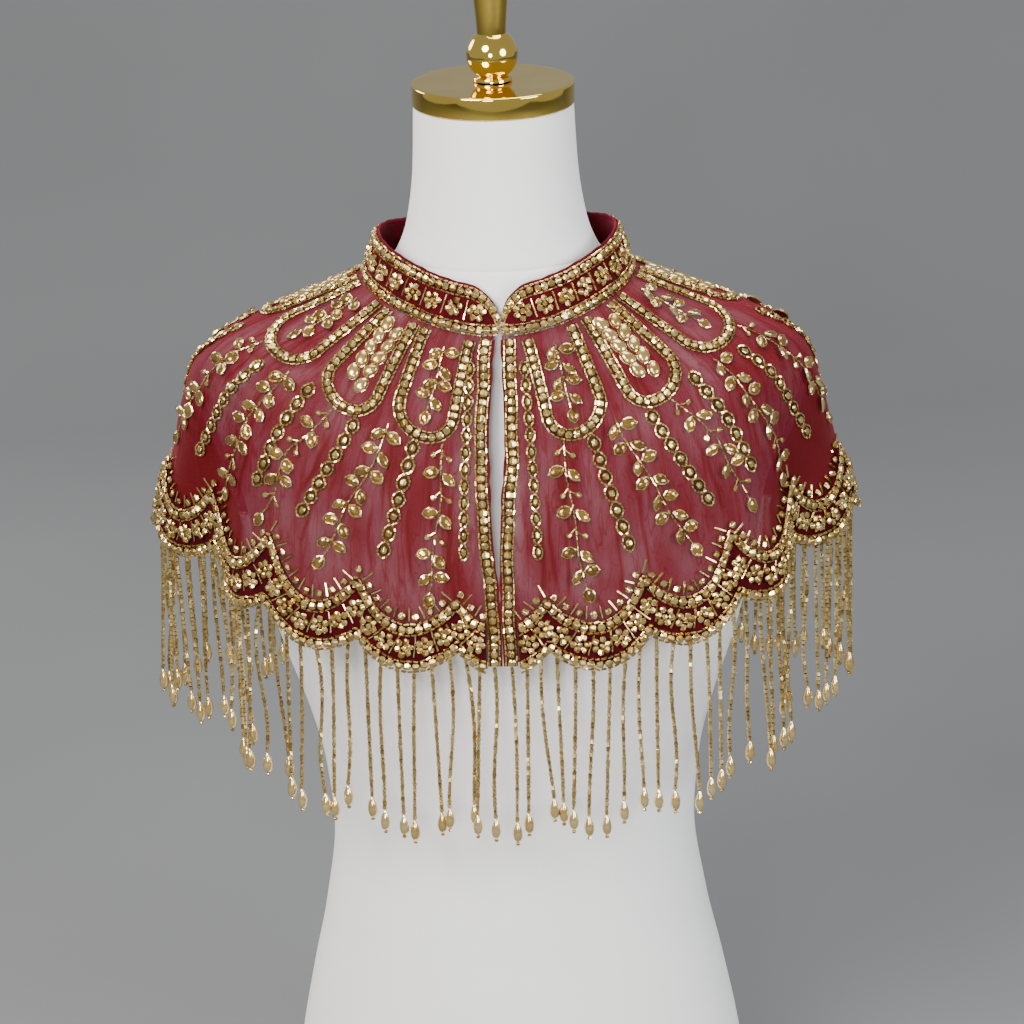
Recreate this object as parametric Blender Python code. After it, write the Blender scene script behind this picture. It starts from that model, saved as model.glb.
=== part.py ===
"""Beaded net capelet with a bead fringe, worn on a limbless dress form.

Metres, +Z up, front towards -Y, +X on the right of the front view.
The origin is the centre of the form's flat base.
An angle is measured round the neck's axis from the front (0) towards +X (a quarter turn).
A turn is a share of the half hem, from the centre front (0) to the centre back (1 or -1).
A share is the part of the cape's length that lies above a point, from the neckline (0) to
the lowest point of a scallop (1).
"""
import math
from typing import NamedTuple

import bpy
import numpy as np
from mathutils import Vector
from mathutils.bvhtree import BVHTree

# Gaps and cloth walls
SEAM_GAP = 0.0003
NET_WALL = 0.0012
REST_GAP = 0.0011
REST_SOFTNESS = 0.0016

# Neck cap and finial of the form
NECK_TOP = 0.7592
CAP_RADIUS = 0.0520
CAP_HEIGHT = 0.0142
CAP_EDGE = 0.0012
FOOT_RADIUS = 0.0125
FOOT_HEIGHT = 0.0030
BALL_RADIUS = 0.0165
STEM_RADIUS = 0.0093
STEM_TOP_RADIUS = 0.0130
STEM_LENGTH = 0.0400

# Bust of the form
BUST_RISE = 0.0085
BUST_ANGLE = math.radians(33.0)
BUST_SPREAD = math.radians(21.0)
BUST_HEIGHT = 0.447
BUST_TALL = 0.050

# Hem: scallops, border and fringe
SCALLOP_PITCH = 0.1105
FIRST_CUSP = 0.048
CUSPS = 9
SCALLOP_DEPTH = 0.015
FLUTE_DEPTH = 0.0020
BORDER_HEIGHT = 0.029
BORDER_FIRST_RISE = 0.0020
BORDER_MIDDLE_RISE = 0.0030
BORDER_LAST_RISE = 0.0022
EDGE_TUCK = 0.0040
STRIP_HEIGHT = 0.0028
STRIP_INSIDE = 0.0008
STRAND_WIDTH = 0.0022
STRAND_LENGTH = 0.1060
STRAND_UNEVENNESS = 0.0070
STRAND_SWAY = 0.0034
DROP_LENGTH = 0.0150
DROP_WIDTH = 0.0064
DROP_NECK = 0.0014

# Columns of the net, and where the shoulder seams lie
COLUMNS_IN_SCALLOP = 6
COLUMNS_IN_HALF_SCALLOP = 3
SEAM_CUSP = 4

# Mandarin collar
COLLAR_HEIGHT = 0.0270
COLLAR_LEAN = 0.0095
COLLAR_WALL = 0.0020
COLLAR_BRAID_RISE = 0.0012
COLLAR_LIFT = 0.0016
COLLAR_REST_GAP = 0.0010
COLLAR_CORNER = 0.0220
COLLAR_END_HEIGHT = 0.0060
COLLAR_END_GAP = 0.0016
COLLAR_COLUMNS = 28
CORNER_COLUMNS = 4

# Bead braids that lie on the net
BRAID_WIDTH = 0.0080
BRAID_RISE = 0.0020
BRAID_LIFT = 0.0006
PETAL_TOP = 0.0060
PETAL_LEG_STATIONS = 5
PETAL_ROUND_STATIONS = 7
PETAL_FLARE = 0.7
CHAIN_RISE = 0.0018
CHAIN_STATIONS = 7
CHAIN_DRIFT_POWER = 1.25
BAND_WIDTH = 0.0084
BAND_INSET = 0.0045
BAND_TOP = 0.0050
BAND_STATIONS = 13


class FormSection(NamedTuple):
    """One level section of the dress form."""
    height: float
    half_width: float
    front: float
    back: float


FORM_SECTIONS = (
    FormSection(0.000, 0.1640, 0.1060, 0.1200),
    FormSection(0.060, 0.1590, 0.1050, 0.1190),
    FormSection(0.100, 0.1530, 0.1030, 0.1150),
    FormSection(0.150, 0.1430, 0.0980, 0.1050),
    FormSection(0.200, 0.1320, 0.0930, 0.0920),
    FormSection(0.260, 0.1240, 0.0900, 0.0820),
    FormSection(0.310, 0.1280, 0.0950, 0.0860),
    FormSection(0.355, 0.1385, 0.1040, 0.0940),
    FormSection(0.400, 0.1530, 0.1140, 0.1020),
    FormSection(0.450, 0.1645, 0.1190, 0.1080),
    FormSection(0.500, 0.1730, 0.1120, 0.1100),
    FormSection(0.550, 0.1900, 0.1000, 0.1040),
    FormSection(0.580, 0.1980, 0.0905, 0.0960),
    FormSection(0.599, 0.1880, 0.0830, 0.0885),
    FormSection(0.614, 0.1640, 0.0765, 0.0790),
    FormSection(0.629, 0.1300, 0.0700, 0.0705),
    FormSection(0.645, 0.0935, 0.0640, 0.0620),
    FormSection(0.661, 0.0680, 0.0590, 0.0572),
    FormSection(0.685, 0.0580, 0.0550, 0.0545),
    FormSection(0.720, 0.0530, 0.0525, 0.0525),
    FormSection(NECK_TOP, 0.0512, 0.0512, 0.0512),
)


class CapeStation(NamedTuple):
    """Inner face of the net at one share of its length, at the side, front and back."""
    share: float
    side_out: float
    side_height: float
    front_out: float
    front_height: float
    back_out: float
    back_height: float


CAPE_STATIONS = (
    CapeStation(0.000, 0.0850, 0.6500, 0.0790, 0.6290, 0.0680, 0.6430),
    CapeStation(0.125, 0.1155, 0.6375, 0.0915, 0.6055, 0.0865, 0.6200),
    CapeStation(0.250, 0.1455, 0.6260, 0.1030, 0.5815, 0.1010, 0.5950),
    CapeStation(0.375, 0.1742, 0.6140, 0.1125, 0.5570, 0.1115, 0.5690),
    CapeStation(0.500, 0.1980, 0.5955, 0.1205, 0.5320, 0.1185, 0.5425),
    CapeStation(0.625, 0.2100, 0.5650, 0.1270, 0.5060, 0.1225, 0.5140),
    CapeStation(0.750, 0.2175, 0.5340, 0.1320, 0.4800, 0.1250, 0.4850),
    CapeStation(0.875, 0.2255, 0.5035, 0.1360, 0.4535, 0.1270, 0.4560),
    CapeStation(1.000, 0.2325, 0.4745, 0.1390, 0.4270, 0.1290, 0.4270),
)

# How far round towards the side the front's and the back's own level is kept
FRONT_LEVEL_NECK = 2.0
FRONT_LEVEL_HEM = 4.0
BACK_LEVEL = 4.5


class Fold(NamedTuple):
    """A hanging fold that sinks towards the neck's axis, deepest at the hem."""
    angle: float
    depth: float
    spread: float
    start: float


FOLDS = (
    Fold(74.0, 0.0260, 9.5, 0.38),
    Fold(-74.0, 0.0260, 9.5, 0.38),
    Fold(112.0, 0.0170, 10.5, 0.42),
    Fold(-112.0, 0.0170, 10.5, 0.42),
)

# Shares of the plain net above the border at which its rows lie
NET_ROWS = (0.0, 0.16, 0.31, 0.44, 0.55, 0.65, 0.77, 0.88, 1.0)


class FrontGap(NamedTuple):
    """Half of the gap between the two fronts at one share of the length."""
    share: float
    right: float
    left: float


FRONT_GAPS = (
    FrontGap(0.00, 0.0008, 0.0035),
    FrontGap(0.05, 0.0010, 0.0054),
    FrontGap(0.17, 0.0011, 0.0072),
    FrontGap(0.36, 0.0009, 0.0098),
    FrontGap(0.50, -0.0020, 0.0096),
    FrontGap(0.67, -0.0040, 0.0078),
    FrontGap(0.80, -0.0042, 0.0056),
    FrontGap(1.00, -0.0034, 0.0048),
)


class BorderPeak(NamedTuple):
    """How far the hem's border rises over a cusp, at a turn."""
    turn: float
    rise: float


BORDER_PEAKS = (
    BorderPeak(0.000, 0.0030),
    BorderPeak(0.048, 0.0030),
    BorderPeak(0.158, 0.0090),
    BorderPeak(0.269, 0.0150),
    BorderPeak(0.380, 0.0110),
    BorderPeak(1.000, 0.0100),
)


def column(rows, name):
    """Return one named column of a table as an array."""
    return np.array([getattr(row, name) for row in rows])


def curve_through(x, known_x, known_y):
    """Return a smooth curve through the known points, without overshoot, at x."""
    step = np.diff(known_x)
    slope = np.diff(known_y) / step
    product = slope[:-1] * slope[1:]
    total = slope[:-1] + slope[1:]
    tangent = np.zeros(len(known_x))
    tangent[0] = slope[0]
    tangent[-1] = slope[-1]
    tangent[1:-1] = np.where(product > 0.0, 2.0 * product / np.where(product > 0.0, total, 1.0), 0.0)
    x = np.clip(np.asarray(x, dtype=float), known_x[0], known_x[-1])
    left = np.clip(np.searchsorted(known_x, x, side="right") - 1, 0, len(step) - 1)
    width = step[left]
    t = (x - known_x[left]) / width
    start = known_y[left] * (1.0 + 2.0 * t) * (1.0 - t) ** 2
    end = known_y[left + 1] * t * t * (3.0 - 2.0 * t)
    bend = width * t * (1.0 - t) * (tangent[left] * (1.0 - t) - tangent[left + 1] * t)
    return start + end + bend


def oval_radius(angle, half_width, depth):
    """Return the radius of an oval with the given half width and depth at an angle."""
    return 1.0 / np.sqrt((np.sin(angle) / half_width) ** 2 + (np.cos(angle) / depth) ** 2)


def form_radius(angle, height):
    """Return the distance of the form's surface from the neck's axis."""
    heights = column(FORM_SECTIONS, "height")
    half_width = curve_through(height, heights, column(FORM_SECTIONS, "half_width"))
    front = curve_through(height, heights, column(FORM_SECTIONS, "front"))
    back = curve_through(height, heights, column(FORM_SECTIONS, "back"))
    depth = np.where(np.cos(angle) > 0.0, front, back)
    away = np.arctan2(np.sin(angle), np.cos(angle))
    level = np.exp(-((height - BUST_HEIGHT) / BUST_TALL) ** 2)
    right = np.exp(-((away - BUST_ANGLE) / BUST_SPREAD) ** 2)
    left = np.exp(-((away + BUST_ANGLE) / BUST_SPREAD) ** 2)
    return oval_radius(angle, half_width, depth) + BUST_RISE * level * (right + left)


def scallop_fill(turn):
    """Return 0 at a cusp of the hem and 1 at the lowest point of a scallop."""
    turn = np.abs(np.asarray(turn, dtype=float))
    last_cusp = FIRST_CUSP + (CUSPS - 1) * SCALLOP_PITCH
    across = (turn - FIRST_CUSP) / SCALLOP_PITCH % 1.0
    across = np.where(turn < FIRST_CUSP, 0.5 + 0.5 * turn / FIRST_CUSP, across)
    across = np.where(turn > last_cusp, 0.5 * (turn - last_cusp) / (1.0 - last_cusp), across)
    return 1.0 - (2.0 * across - 1.0) ** 2


def fold_depth(angle, share):
    """Return how far the hanging folds sink the net towards the neck's axis."""
    around = np.degrees(np.arctan2(np.sin(angle), np.cos(angle)))
    depth = 0.0
    for fold in FOLDS:
        grown = np.clip((share - fold.start) / (1.0 - fold.start), 0.0, 1.0)
        depth = depth + fold.depth * grown ** 1.3 * np.exp(-((around - fold.angle) / fold.spread) ** 2)
    return depth


def plain_cape_point(angle, share):
    """Return the inner face of the net, before its flutes, and the direction outwards."""
    shares = column(CAPE_STATIONS, "share")

    def read(name):
        return curve_through(share, shares, column(CAPE_STATIONS, name))

    in_front = np.cos(angle) > 0.0
    depth = np.where(in_front, read("front_out"), read("back_out"))
    front_power = FRONT_LEVEL_NECK + (FRONT_LEVEL_HEM - FRONT_LEVEL_NECK) * share
    power = np.where(in_front, front_power, BACK_LEVEL)
    side_part = np.abs(np.sin(angle)) ** power
    middle_height = np.where(in_front, read("front_height"), read("back_height"))
    height = read("side_height") * side_part + middle_height * (1.0 - side_part)
    hang = oval_radius(angle, read("side_out"), depth) - fold_depth(angle, share)
    rest = form_radius(angle, height) + REST_GAP
    out = 0.5 * (hang + rest + np.sqrt((hang - rest) ** 2 + REST_SOFTNESS ** 2))
    return out, height


def hem_table():
    """Return angles round half the hem and the turn that belongs to each."""
    angles = np.linspace(0.0, math.pi, 361)
    out, height = plain_cape_point(angles, np.ones(len(angles)))
    points = np.stack([out * np.sin(angles), -out * np.cos(angles), height], axis=-1)
    steps = np.linalg.norm(np.diff(points, axis=0), axis=1)
    turns = np.concatenate([[0.0], np.cumsum(steps)])
    return angles, turns / turns[-1]


HEM_ANGLES, HEM_TURNS = hem_table()


def angle_of(turn):
    """Return the angle of a turn."""
    return np.sign(turn) * np.interp(np.abs(turn), HEM_TURNS, HEM_ANGLES)


def turn_of(angle):
    """Return the turn of an angle between minus and plus half a circle."""
    return np.sign(angle) * np.interp(np.abs(angle), HEM_ANGLES, HEM_TURNS)


def cape_point(angle, share):
    """Return a point of the net's inner face."""
    out, height = plain_cape_point(angle, share)
    around = np.arctan2(np.sin(angle), np.cos(angle))
    flute = FLUTE_DEPTH * share ** 3 * scallop_fill(turn_of(around))
    out = out + flute
    return np.stack([out * np.sin(angle), -out * np.cos(angle), height + 0.0 * angle], axis=-1)


def cape_directions(angle, share):
    """Return the unit normal of the net, and the lengths of one radian and of one share."""
    nudge = 1e-4
    inner = np.clip(share, nudge, 1.0 - nudge)
    along = (cape_point(angle, inner + nudge) - cape_point(angle, inner - nudge)) / (2.0 * nudge)
    round_about = (cape_point(angle + nudge, inner) - cape_point(angle - nudge, inner)) / (2.0 * nudge)
    normal = np.cross(along, round_about)
    normal = normal / np.linalg.norm(normal, axis=-1, keepdims=True)
    return normal, np.linalg.norm(round_about, axis=-1), np.linalg.norm(along, axis=-1)


def cape_length(angle):
    """Return the length of the net from the neckline to share 1 at an angle."""
    shares = np.linspace(0.0, 1.0, 65)
    points = cape_point(np.full(len(shares), float(angle)), shares)
    return float(np.linalg.norm(np.diff(points, axis=0), axis=1).sum())


def front_edge_angle(share, side):
    """Return how far a front's free edge lies from the centre, as an angle."""
    shares = column(FRONT_GAPS, "share")
    right = curve_through(share, shares, column(FRONT_GAPS, "right"))
    left = curve_through(share, shares, column(FRONT_GAPS, "left"))
    out = curve_through(share, column(CAPE_STATIONS, "share"), column(CAPE_STATIONS, "front_out"))
    return np.arcsin(np.where(side > 0.0, right, left) / out)


def opened_angle(angle, share):
    """Return an angle after the net has made room for the gap between its fronts."""
    edge = front_edge_angle(share, np.sign(angle))
    return np.sign(angle) * (edge + np.abs(angle) * (1.0 - edge / math.pi))


def column_turns():
    """Return the turns of the net's columns over one half, from the front to the back."""
    cusps = [FIRST_CUSP + index * SCALLOP_PITCH for index in range(CUSPS)]
    turns = list(np.linspace(0.0, cusps[0], COLUMNS_IN_HALF_SCALLOP + 1))[:-1]
    for left, right in zip(cusps[:-1], cusps[1:]):
        turns += list(np.linspace(left, right, COLUMNS_IN_SCALLOP + 1))[:-1]
    return turns + list(np.linspace(cusps[-1], 1.0, COLUMNS_IN_HALF_SCALLOP + 1))


def border_height(turn):
    """Return the height of the hem's border, which peaks over the cusps."""
    rise = curve_through(np.array([abs(turn)]), column(BORDER_PEAKS, "turn"), column(BORDER_PEAKS, "rise"))
    return BORDER_HEIGHT + float(rise[0]) * (1.0 - float(scallop_fill(turn)))


def net_column(turn, side):
    """Return the rows' inner points and normals of one column, with the rows of the border.

    The last two rows are the lower edge of the net and the edge of the border.
    """
    plain_angle = side * float(angle_of(turn))
    total = cape_length(plain_angle)
    hem = total - SCALLOP_DEPTH * (1.0 - float(scallop_fill(turn)))
    border = hem - border_height(turn)
    lengths = [row * border for row in NET_ROWS]
    lengths += [0.5 * (border + hem - EDGE_TUCK), hem - EDGE_TUCK, hem]
    shares = np.array(lengths) / total
    signed = plain_angle if plain_angle != 0.0 else side * 1e-9
    angles = opened_angle(np.full(len(shares), signed), shares)
    normal, _, _ = cape_directions(angles, shares)
    return cape_point(angles, shares), normal


def net_grid(turns, side):
    """Return points and normals of a run of columns, as arrays of rows by columns."""
    columns = [net_column(abs(turn), side if side else math.copysign(1.0, turn)) for turn in turns]
    points = np.stack([entry[0] for entry in columns], axis=1)
    normals = np.stack([entry[1] for entry in columns], axis=1)
    return points, normals


def parted(points, first_inset, last_inset):
    """Move the first and last columns of a grid inwards along their rows."""
    result = points.copy()
    for end, inside, inset in ((0, 1, first_inset), (-1, -2, last_inset)):
        step = points[:, inside] - points[:, end]
        length = np.linalg.norm(step, axis=-1, keepdims=True)
        result[:, end] = points[:, end] + step * inset / length
    return result


def material(name, colour, roughness, metallic):
    """Return a Principled material."""
    made = bpy.data.materials.new(name)
    made.use_nodes = True
    shader = made.node_tree.nodes["Principled BSDF"]
    shader.inputs["Base Color"].default_value = (*colour, 1.0)
    shader.inputs["Roughness"].default_value = roughness
    shader.inputs["Metallic"].default_value = metallic
    return made


def add_object(name, vertices, faces, surface, smooth_angle=40.0):
    """Add a mesh object made of the given points and faces."""
    mesh = bpy.data.meshes.new(name)
    mesh.from_pydata([tuple(point) for point in vertices], [], faces)
    mesh.validate()
    mesh.shade_smooth()
    mesh.set_sharp_from_angle(angle=math.radians(smooth_angle))
    mesh.materials.append(surface)
    made = bpy.data.objects.new(name, mesh)
    bpy.context.scene.collection.objects.link(made)
    return made


def wall_faces(rows, columns):
    """Return the triangles of a closed wall between an inner and an outer grid.

    The outer grid's points follow the inner grid's. The columns run towards +X at the front,
    and the rows run down.
    """
    count = rows * columns
    faces = []

    def inner(row, col):
        return row * columns + col

    def outer(row, col):
        return count + row * columns + col

    def quad(a, b, c, d):
        faces.append((a, b, c))
        faces.append((a, c, d))

    for row in range(rows - 1):
        for col in range(columns - 1):
            quad(outer(row, col), outer(row + 1, col), outer(row + 1, col + 1), outer(row, col + 1))
            quad(inner(row, col), inner(row, col + 1), inner(row + 1, col + 1), inner(row + 1, col))
        quad(inner(row, 0), inner(row + 1, 0), outer(row + 1, 0), outer(row, 0))
        last = columns - 1
        quad(outer(row, last), outer(row + 1, last), inner(row + 1, last), inner(row, last))
    for col in range(columns - 1):
        bottom = rows - 1
        quad(outer(0, col), outer(0, col + 1), inner(0, col + 1), inner(0, col))
        quad(inner(bottom, col), inner(bottom, col + 1), outer(bottom, col + 1), outer(bottom, col))
    return faces


def add_wall(name, inner, outer, surface):
    """Add the closed wall between two grids of points."""
    rows, columns = inner.shape[:2]
    vertices = np.concatenate([inner.reshape(-1, 3), outer.reshape(-1, 3)])
    return add_object(name, vertices, wall_faces(rows, columns), surface)


def add_turned(name, profile, segments, surface):
    """Add a solid turned round the vertical axis from a profile of radius and height."""
    vertices = [(0.0, 0.0, profile[0][1]), (0.0, 0.0, profile[-1][1])]
    for radius, height in profile:
        for index in range(segments):
            turn = 2.0 * math.pi * index / segments
            vertices.append((radius * math.cos(turn), radius * math.sin(turn), height))
    faces = []
    for index in range(segments):
        after = (index + 1) % segments
        faces.append((0, 2 + after, 2 + index))
        top = 2 + (len(profile) - 1) * segments
        faces.append((1, top + index, top + after))
        for ring in range(len(profile) - 1):
            low = 2 + ring * segments
            high = low + segments
            faces.append((low + index, low + after, high + after))
            faces.append((low + index, high + after, high + index))
    return add_object(name, vertices, faces, surface)


def add_form_body(surface):
    """Add the smooth torso and neck of the form."""
    segments = 32
    heights = [0.0, 0.05, 0.10, 0.15, 0.20, 0.25, 0.30, 0.34, 0.375, 0.41, 0.44, 0.47, 0.50, 0.535]
    heights += [0.565, 0.585, 0.60, 0.615, 0.63, 0.645, 0.66, 0.675, 0.695, 0.725, NECK_TOP]
    vertices = [(0.0, 0.0, heights[0]), (0.0, 0.0, heights[-1])]
    angles = 2.0 * math.pi * np.arange(segments) / segments
    for height in heights:
        radius = form_radius(angles, np.full(segments, height))
        for angle, reach in zip(angles, radius):
            vertices.append((reach * math.sin(angle), -reach * math.cos(angle), height))
    faces = []
    top = 2 + (len(heights) - 1) * segments
    for index in range(segments):
        after = (index + 1) % segments
        faces.append((0, 2 + after, 2 + index))
        faces.append((1, top + index, top + after))
        for ring in range(len(heights) - 1):
            low = 2 + ring * segments
            high = low + segments
            faces.append((low + index, low + after, high + after))
            faces.append((low + index, high + after, high + index))
    return add_object("form_body", vertices, faces, surface, 60.0)


def add_neck_cap(surface):
    """Add the flat metal cap of the neck."""
    low = NECK_TOP + SEAM_GAP
    high = low + CAP_HEIGHT
    profile = [
        (CAP_RADIUS - CAP_EDGE, low),
        (CAP_RADIUS, low + CAP_EDGE),
        (CAP_RADIUS, high - CAP_EDGE),
        (CAP_RADIUS - CAP_EDGE, high),
    ]
    return add_turned("form_neck_cap", profile, 32, surface)


def add_finial(surface):
    """Add the foot, ball and flared stem on the neck cap."""
    foot = NECK_TOP + SEAM_GAP + CAP_HEIGHT + SEAM_GAP
    foot_top = foot + FOOT_HEIGHT
    start = math.asin(0.72 * FOOT_RADIUS / BALL_RADIUS)
    centre = foot_top + BALL_RADIUS * math.cos(start)
    end = math.pi - math.asin(STEM_RADIUS / BALL_RADIUS)
    profile = [(FOOT_RADIUS, foot), (FOOT_RADIUS, foot_top)]
    steps = 7
    for index in range(steps + 1):
        bearing = start + (end - start) * index / steps
        profile.append((BALL_RADIUS * math.sin(bearing), centre - BALL_RADIUS * math.cos(bearing)))
    stem = profile[-1][1]
    for share in (0.33, 0.67, 1.0):
        flare = (STEM_TOP_RADIUS - STEM_RADIUS) * share ** 1.4
        profile.append((STEM_RADIUS + flare, stem + STEM_LENGTH * share))
    profile.append((0.62 * STEM_TOP_RADIUS, stem + STEM_LENGTH + 0.0035))
    return add_turned("form_finial", profile, 16, surface)


class Run(NamedTuple):
    """A run of the net's columns that makes one panel."""
    name: str
    turns: list
    side: float


def panel_runs():
    """Return the columns of the right front, the left front and the back."""
    turns = column_turns()
    seam = COLUMNS_IN_HALF_SCALLOP + SEAM_CUSP * COLUMNS_IN_SCALLOP
    front = turns[:seam + 1]
    behind = turns[seam:]
    around = behind + [-turn for turn in reversed(behind[:-1])]
    return (
        Run("front_right", front, 1.0),
        Run("front_left", list(reversed(front)), -1.0),
        Run("back", around, 0.0),
    )


def add_panel(run, points, normals, surface):
    """Add one net panel and return its outer grid."""
    is_front = run.side != 0.0
    first = 0.0 if run.side > 0.0 else 0.5 * SEAM_GAP
    last = 0.0 if run.side < 0.0 else 0.5 * SEAM_GAP
    first = first if is_front else 0.5 * SEAM_GAP
    inner = parted(points[:-1], first, last)
    outer = parted(points[:-1] + NET_WALL * normals[:-1], first, last)
    add_wall("net_" + run.name, inner, outer, surface)
    return outer


def add_border(run, points, normals, surface):
    """Add the thick beaded band that lies on the lower edge of one panel."""
    rises = (BORDER_FIRST_RISE, BORDER_MIDDLE_RISE, BORDER_MIDDLE_RISE, BORDER_LAST_RISE)
    rise = np.array(rises)[:, None, None]
    grid = points[-4:] + (NET_WALL + SEAM_GAP) * normals[-4:]
    over = grid + rise * normals[-4:]
    free_edge = BAND_WIDTH + 2.0 * SEAM_GAP + BAND_INSET - 0.5 * BAND_WIDTH
    first = free_edge if run.side > 0.0 else 0.5 * SEAM_GAP
    last = free_edge if run.side < 0.0 else 0.5 * SEAM_GAP
    add_wall("border_" + run.name, cut_ends(grid, first, last), cut_ends(over, first, last), surface)


def cut_ends(grid, first, last):
    """Shorten each row of a grid by a length at its first and at its last column."""
    rows = [shorten(shorten(row, first)[::-1], last)[::-1] for row in grid]
    return np.stack(rows)


def shorten(row, length):
    """Return a row of points whose first point is moved along it by a level length."""
    steps = np.linalg.norm(np.diff(row[:, :2], axis=0), axis=1)
    skipped = min(int(np.searchsorted(np.cumsum(steps), length, side="right")), 1)
    rest = length - steps[:skipped].sum()
    start = row[skipped] + (row[skipped + 1] - row[skipped]) * rest / steps[skipped]
    return np.concatenate([start[None], row[skipped + 1:]])


def add_fringe(run, points, normals, surface, random):
    """Add the strip under one panel's edge with its hanging strands."""
    tuck = points[-2]
    edge = points[-1]
    down = (edge - tuck) / np.linalg.norm(edge - tuck, axis=-1, keepdims=True)
    top = tuck + SEAM_GAP * down
    bottom = top + STRIP_HEIGHT * down
    normal = normals[-2]
    stations = []
    for index in range(len(tuck) - 1):
        reach = np.linalg.norm(tuck[index + 1] - tuck[index])
        for place in (0.5 - 0.5 * STRAND_WIDTH / reach, 0.5 + 0.5 * STRAND_WIDTH / reach):
            stations.append((index, place))
        stations.append((index + 1, 0.0))
    stations.insert(0, (0, 0.0))
    corners = []
    for index, place in stations:
        after = min(index + 1, len(tuck) - 1)

        def blend(values):
            return values[index] * (1.0 - place) + values[after] * place

        inward = -STRIP_INSIDE * blend(normal)
        outward = NET_WALL * blend(normal)
        corners.append((blend(top) + inward, blend(bottom) + inward,
                        blend(bottom) + outward, blend(top) + outward))
    first_step = corners[1][0] - corners[0][0]
    last_step = corners[-2][0] - corners[-1][0]
    for end, step in ((0, first_step), (-1, last_step)):
        shift = step / np.linalg.norm(step) * 0.5 * SEAM_GAP
        corners[end] = tuple(corner + shift for corner in corners[end])
    vertices = [corner for station in corners for corner in station]
    faces = [(0, 1, 2), (0, 2, 3)]
    last = 4 * (len(stations) - 1)
    faces += [(last, last + 2, last + 1), (last, last + 3, last + 2)]
    for index in range(len(stations) - 1):
        here = 4 * index
        there = here + 4
        for low, high in ((0, 1), (1, 2), (2, 3), (3, 0)):
            if (low, high) == (1, 2) and index % 3 == 1:
                faces += strand_faces(vertices, here, there, random)
                continue
            faces.append((here + low, there + low, there + high))
            faces.append((here + low, there + high, here + high))
    add_object("fringe_" + run.name, vertices, faces, surface)


def strand_faces(vertices, here, there, random):
    """Append one strand's points under a strip cell, and return its faces."""
    root = [here + 1, there + 1, there + 2, here + 2]
    corners = np.array([vertices[index] for index in root])
    middle = corners.mean(axis=0)
    length = STRAND_LENGTH + STRAND_UNEVENNESS * (random.random() - 0.5)
    sway = np.array([random.normal(0.0, STRAND_SWAY), random.normal(0.0, 0.4 * STRAND_SWAY), 0.0])
    out = corners[3] - corners[0]
    out = np.array([out[0], out[1], 0.0]) / np.linalg.norm(out[:2])
    across = np.array([-out[1], out[0], 0.0])
    if np.dot(across, corners[1] - corners[0]) < 0.0:
        across = -across
    belly_share = 0.66
    levels = (
        (length, DROP_NECK, 1.0),
        (length + belly_share * DROP_LENGTH, DROP_WIDTH, 1.0),
    )
    rings = [root]
    for depth, width, lean in levels:
        centre = middle + sway * lean - np.array([0.0, 0.0, depth])
        half = 0.5 * width
        start = len(vertices)
        for sign_out, sign_across in ((-1, -1), (-1, 1), (1, 1), (1, -1)):
            vertices.append(centre + half * (sign_out * out + sign_across * across))
        rings.append([start, start + 1, start + 2, start + 3])
    vertices.append(middle + sway - np.array([0.0, 0.0, length + DROP_LENGTH]))
    tip = len(vertices) - 1
    faces = []
    for upper, lower in zip(rings[:-1], rings[1:]):
        for side in range(4):
            after = (side + 1) % 4
            faces.append((upper[side], upper[after], lower[after]))
            faces.append((upper[side], lower[after], lower[side]))
    for side in range(4):
        faces.append((rings[-1][side], rings[-1][(side + 1) % 4], tip))
    return faces


class Skin:
    """The outer faces of the net panels, for pieces that lie on them."""

    def __init__(self, grids):
        vertices = []
        faces = []
        for grid in grids:
            rows, columns = grid.shape[:2]
            start = len(vertices)
            vertices += [Vector(point) for point in grid.reshape(-1, 3)]
            for row in range(rows - 1):
                for col in range(columns - 1):
                    a = start + row * columns + col
                    b = a + columns
                    faces.append((a, b, b + 1))
                    faces.append((a, b + 1, a + 1))
        self.tree = BVHTree.FromPolygons(vertices, faces)

    def seat(self, angle, share):
        """Return the point of the net's outer face under an angle and share, and its normal."""
        normal, _, _ = cape_directions(np.array([angle]), np.array([share]))
        normal = normal[0]
        smooth = cape_point(np.array([angle]), np.array([share]))[0] + NET_WALL * normal
        reach = 0.01
        hit = self.tree.ray_cast(Vector(smooth + reach * normal), Vector(-normal), 2.0 * reach)
        return (smooth if hit[0] is None else np.array(hit[0])), normal

    def clearance(self, point, up):
        """Return how far a point lies above the net's outer face."""
        reach = 0.006
        hit = self.tree.ray_cast(Vector(point + reach * up), Vector(-up), 2.0 * reach)
        return BRAID_LIFT if hit[0] is None else float(np.dot(point - np.array(hit[0]), up))


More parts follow.
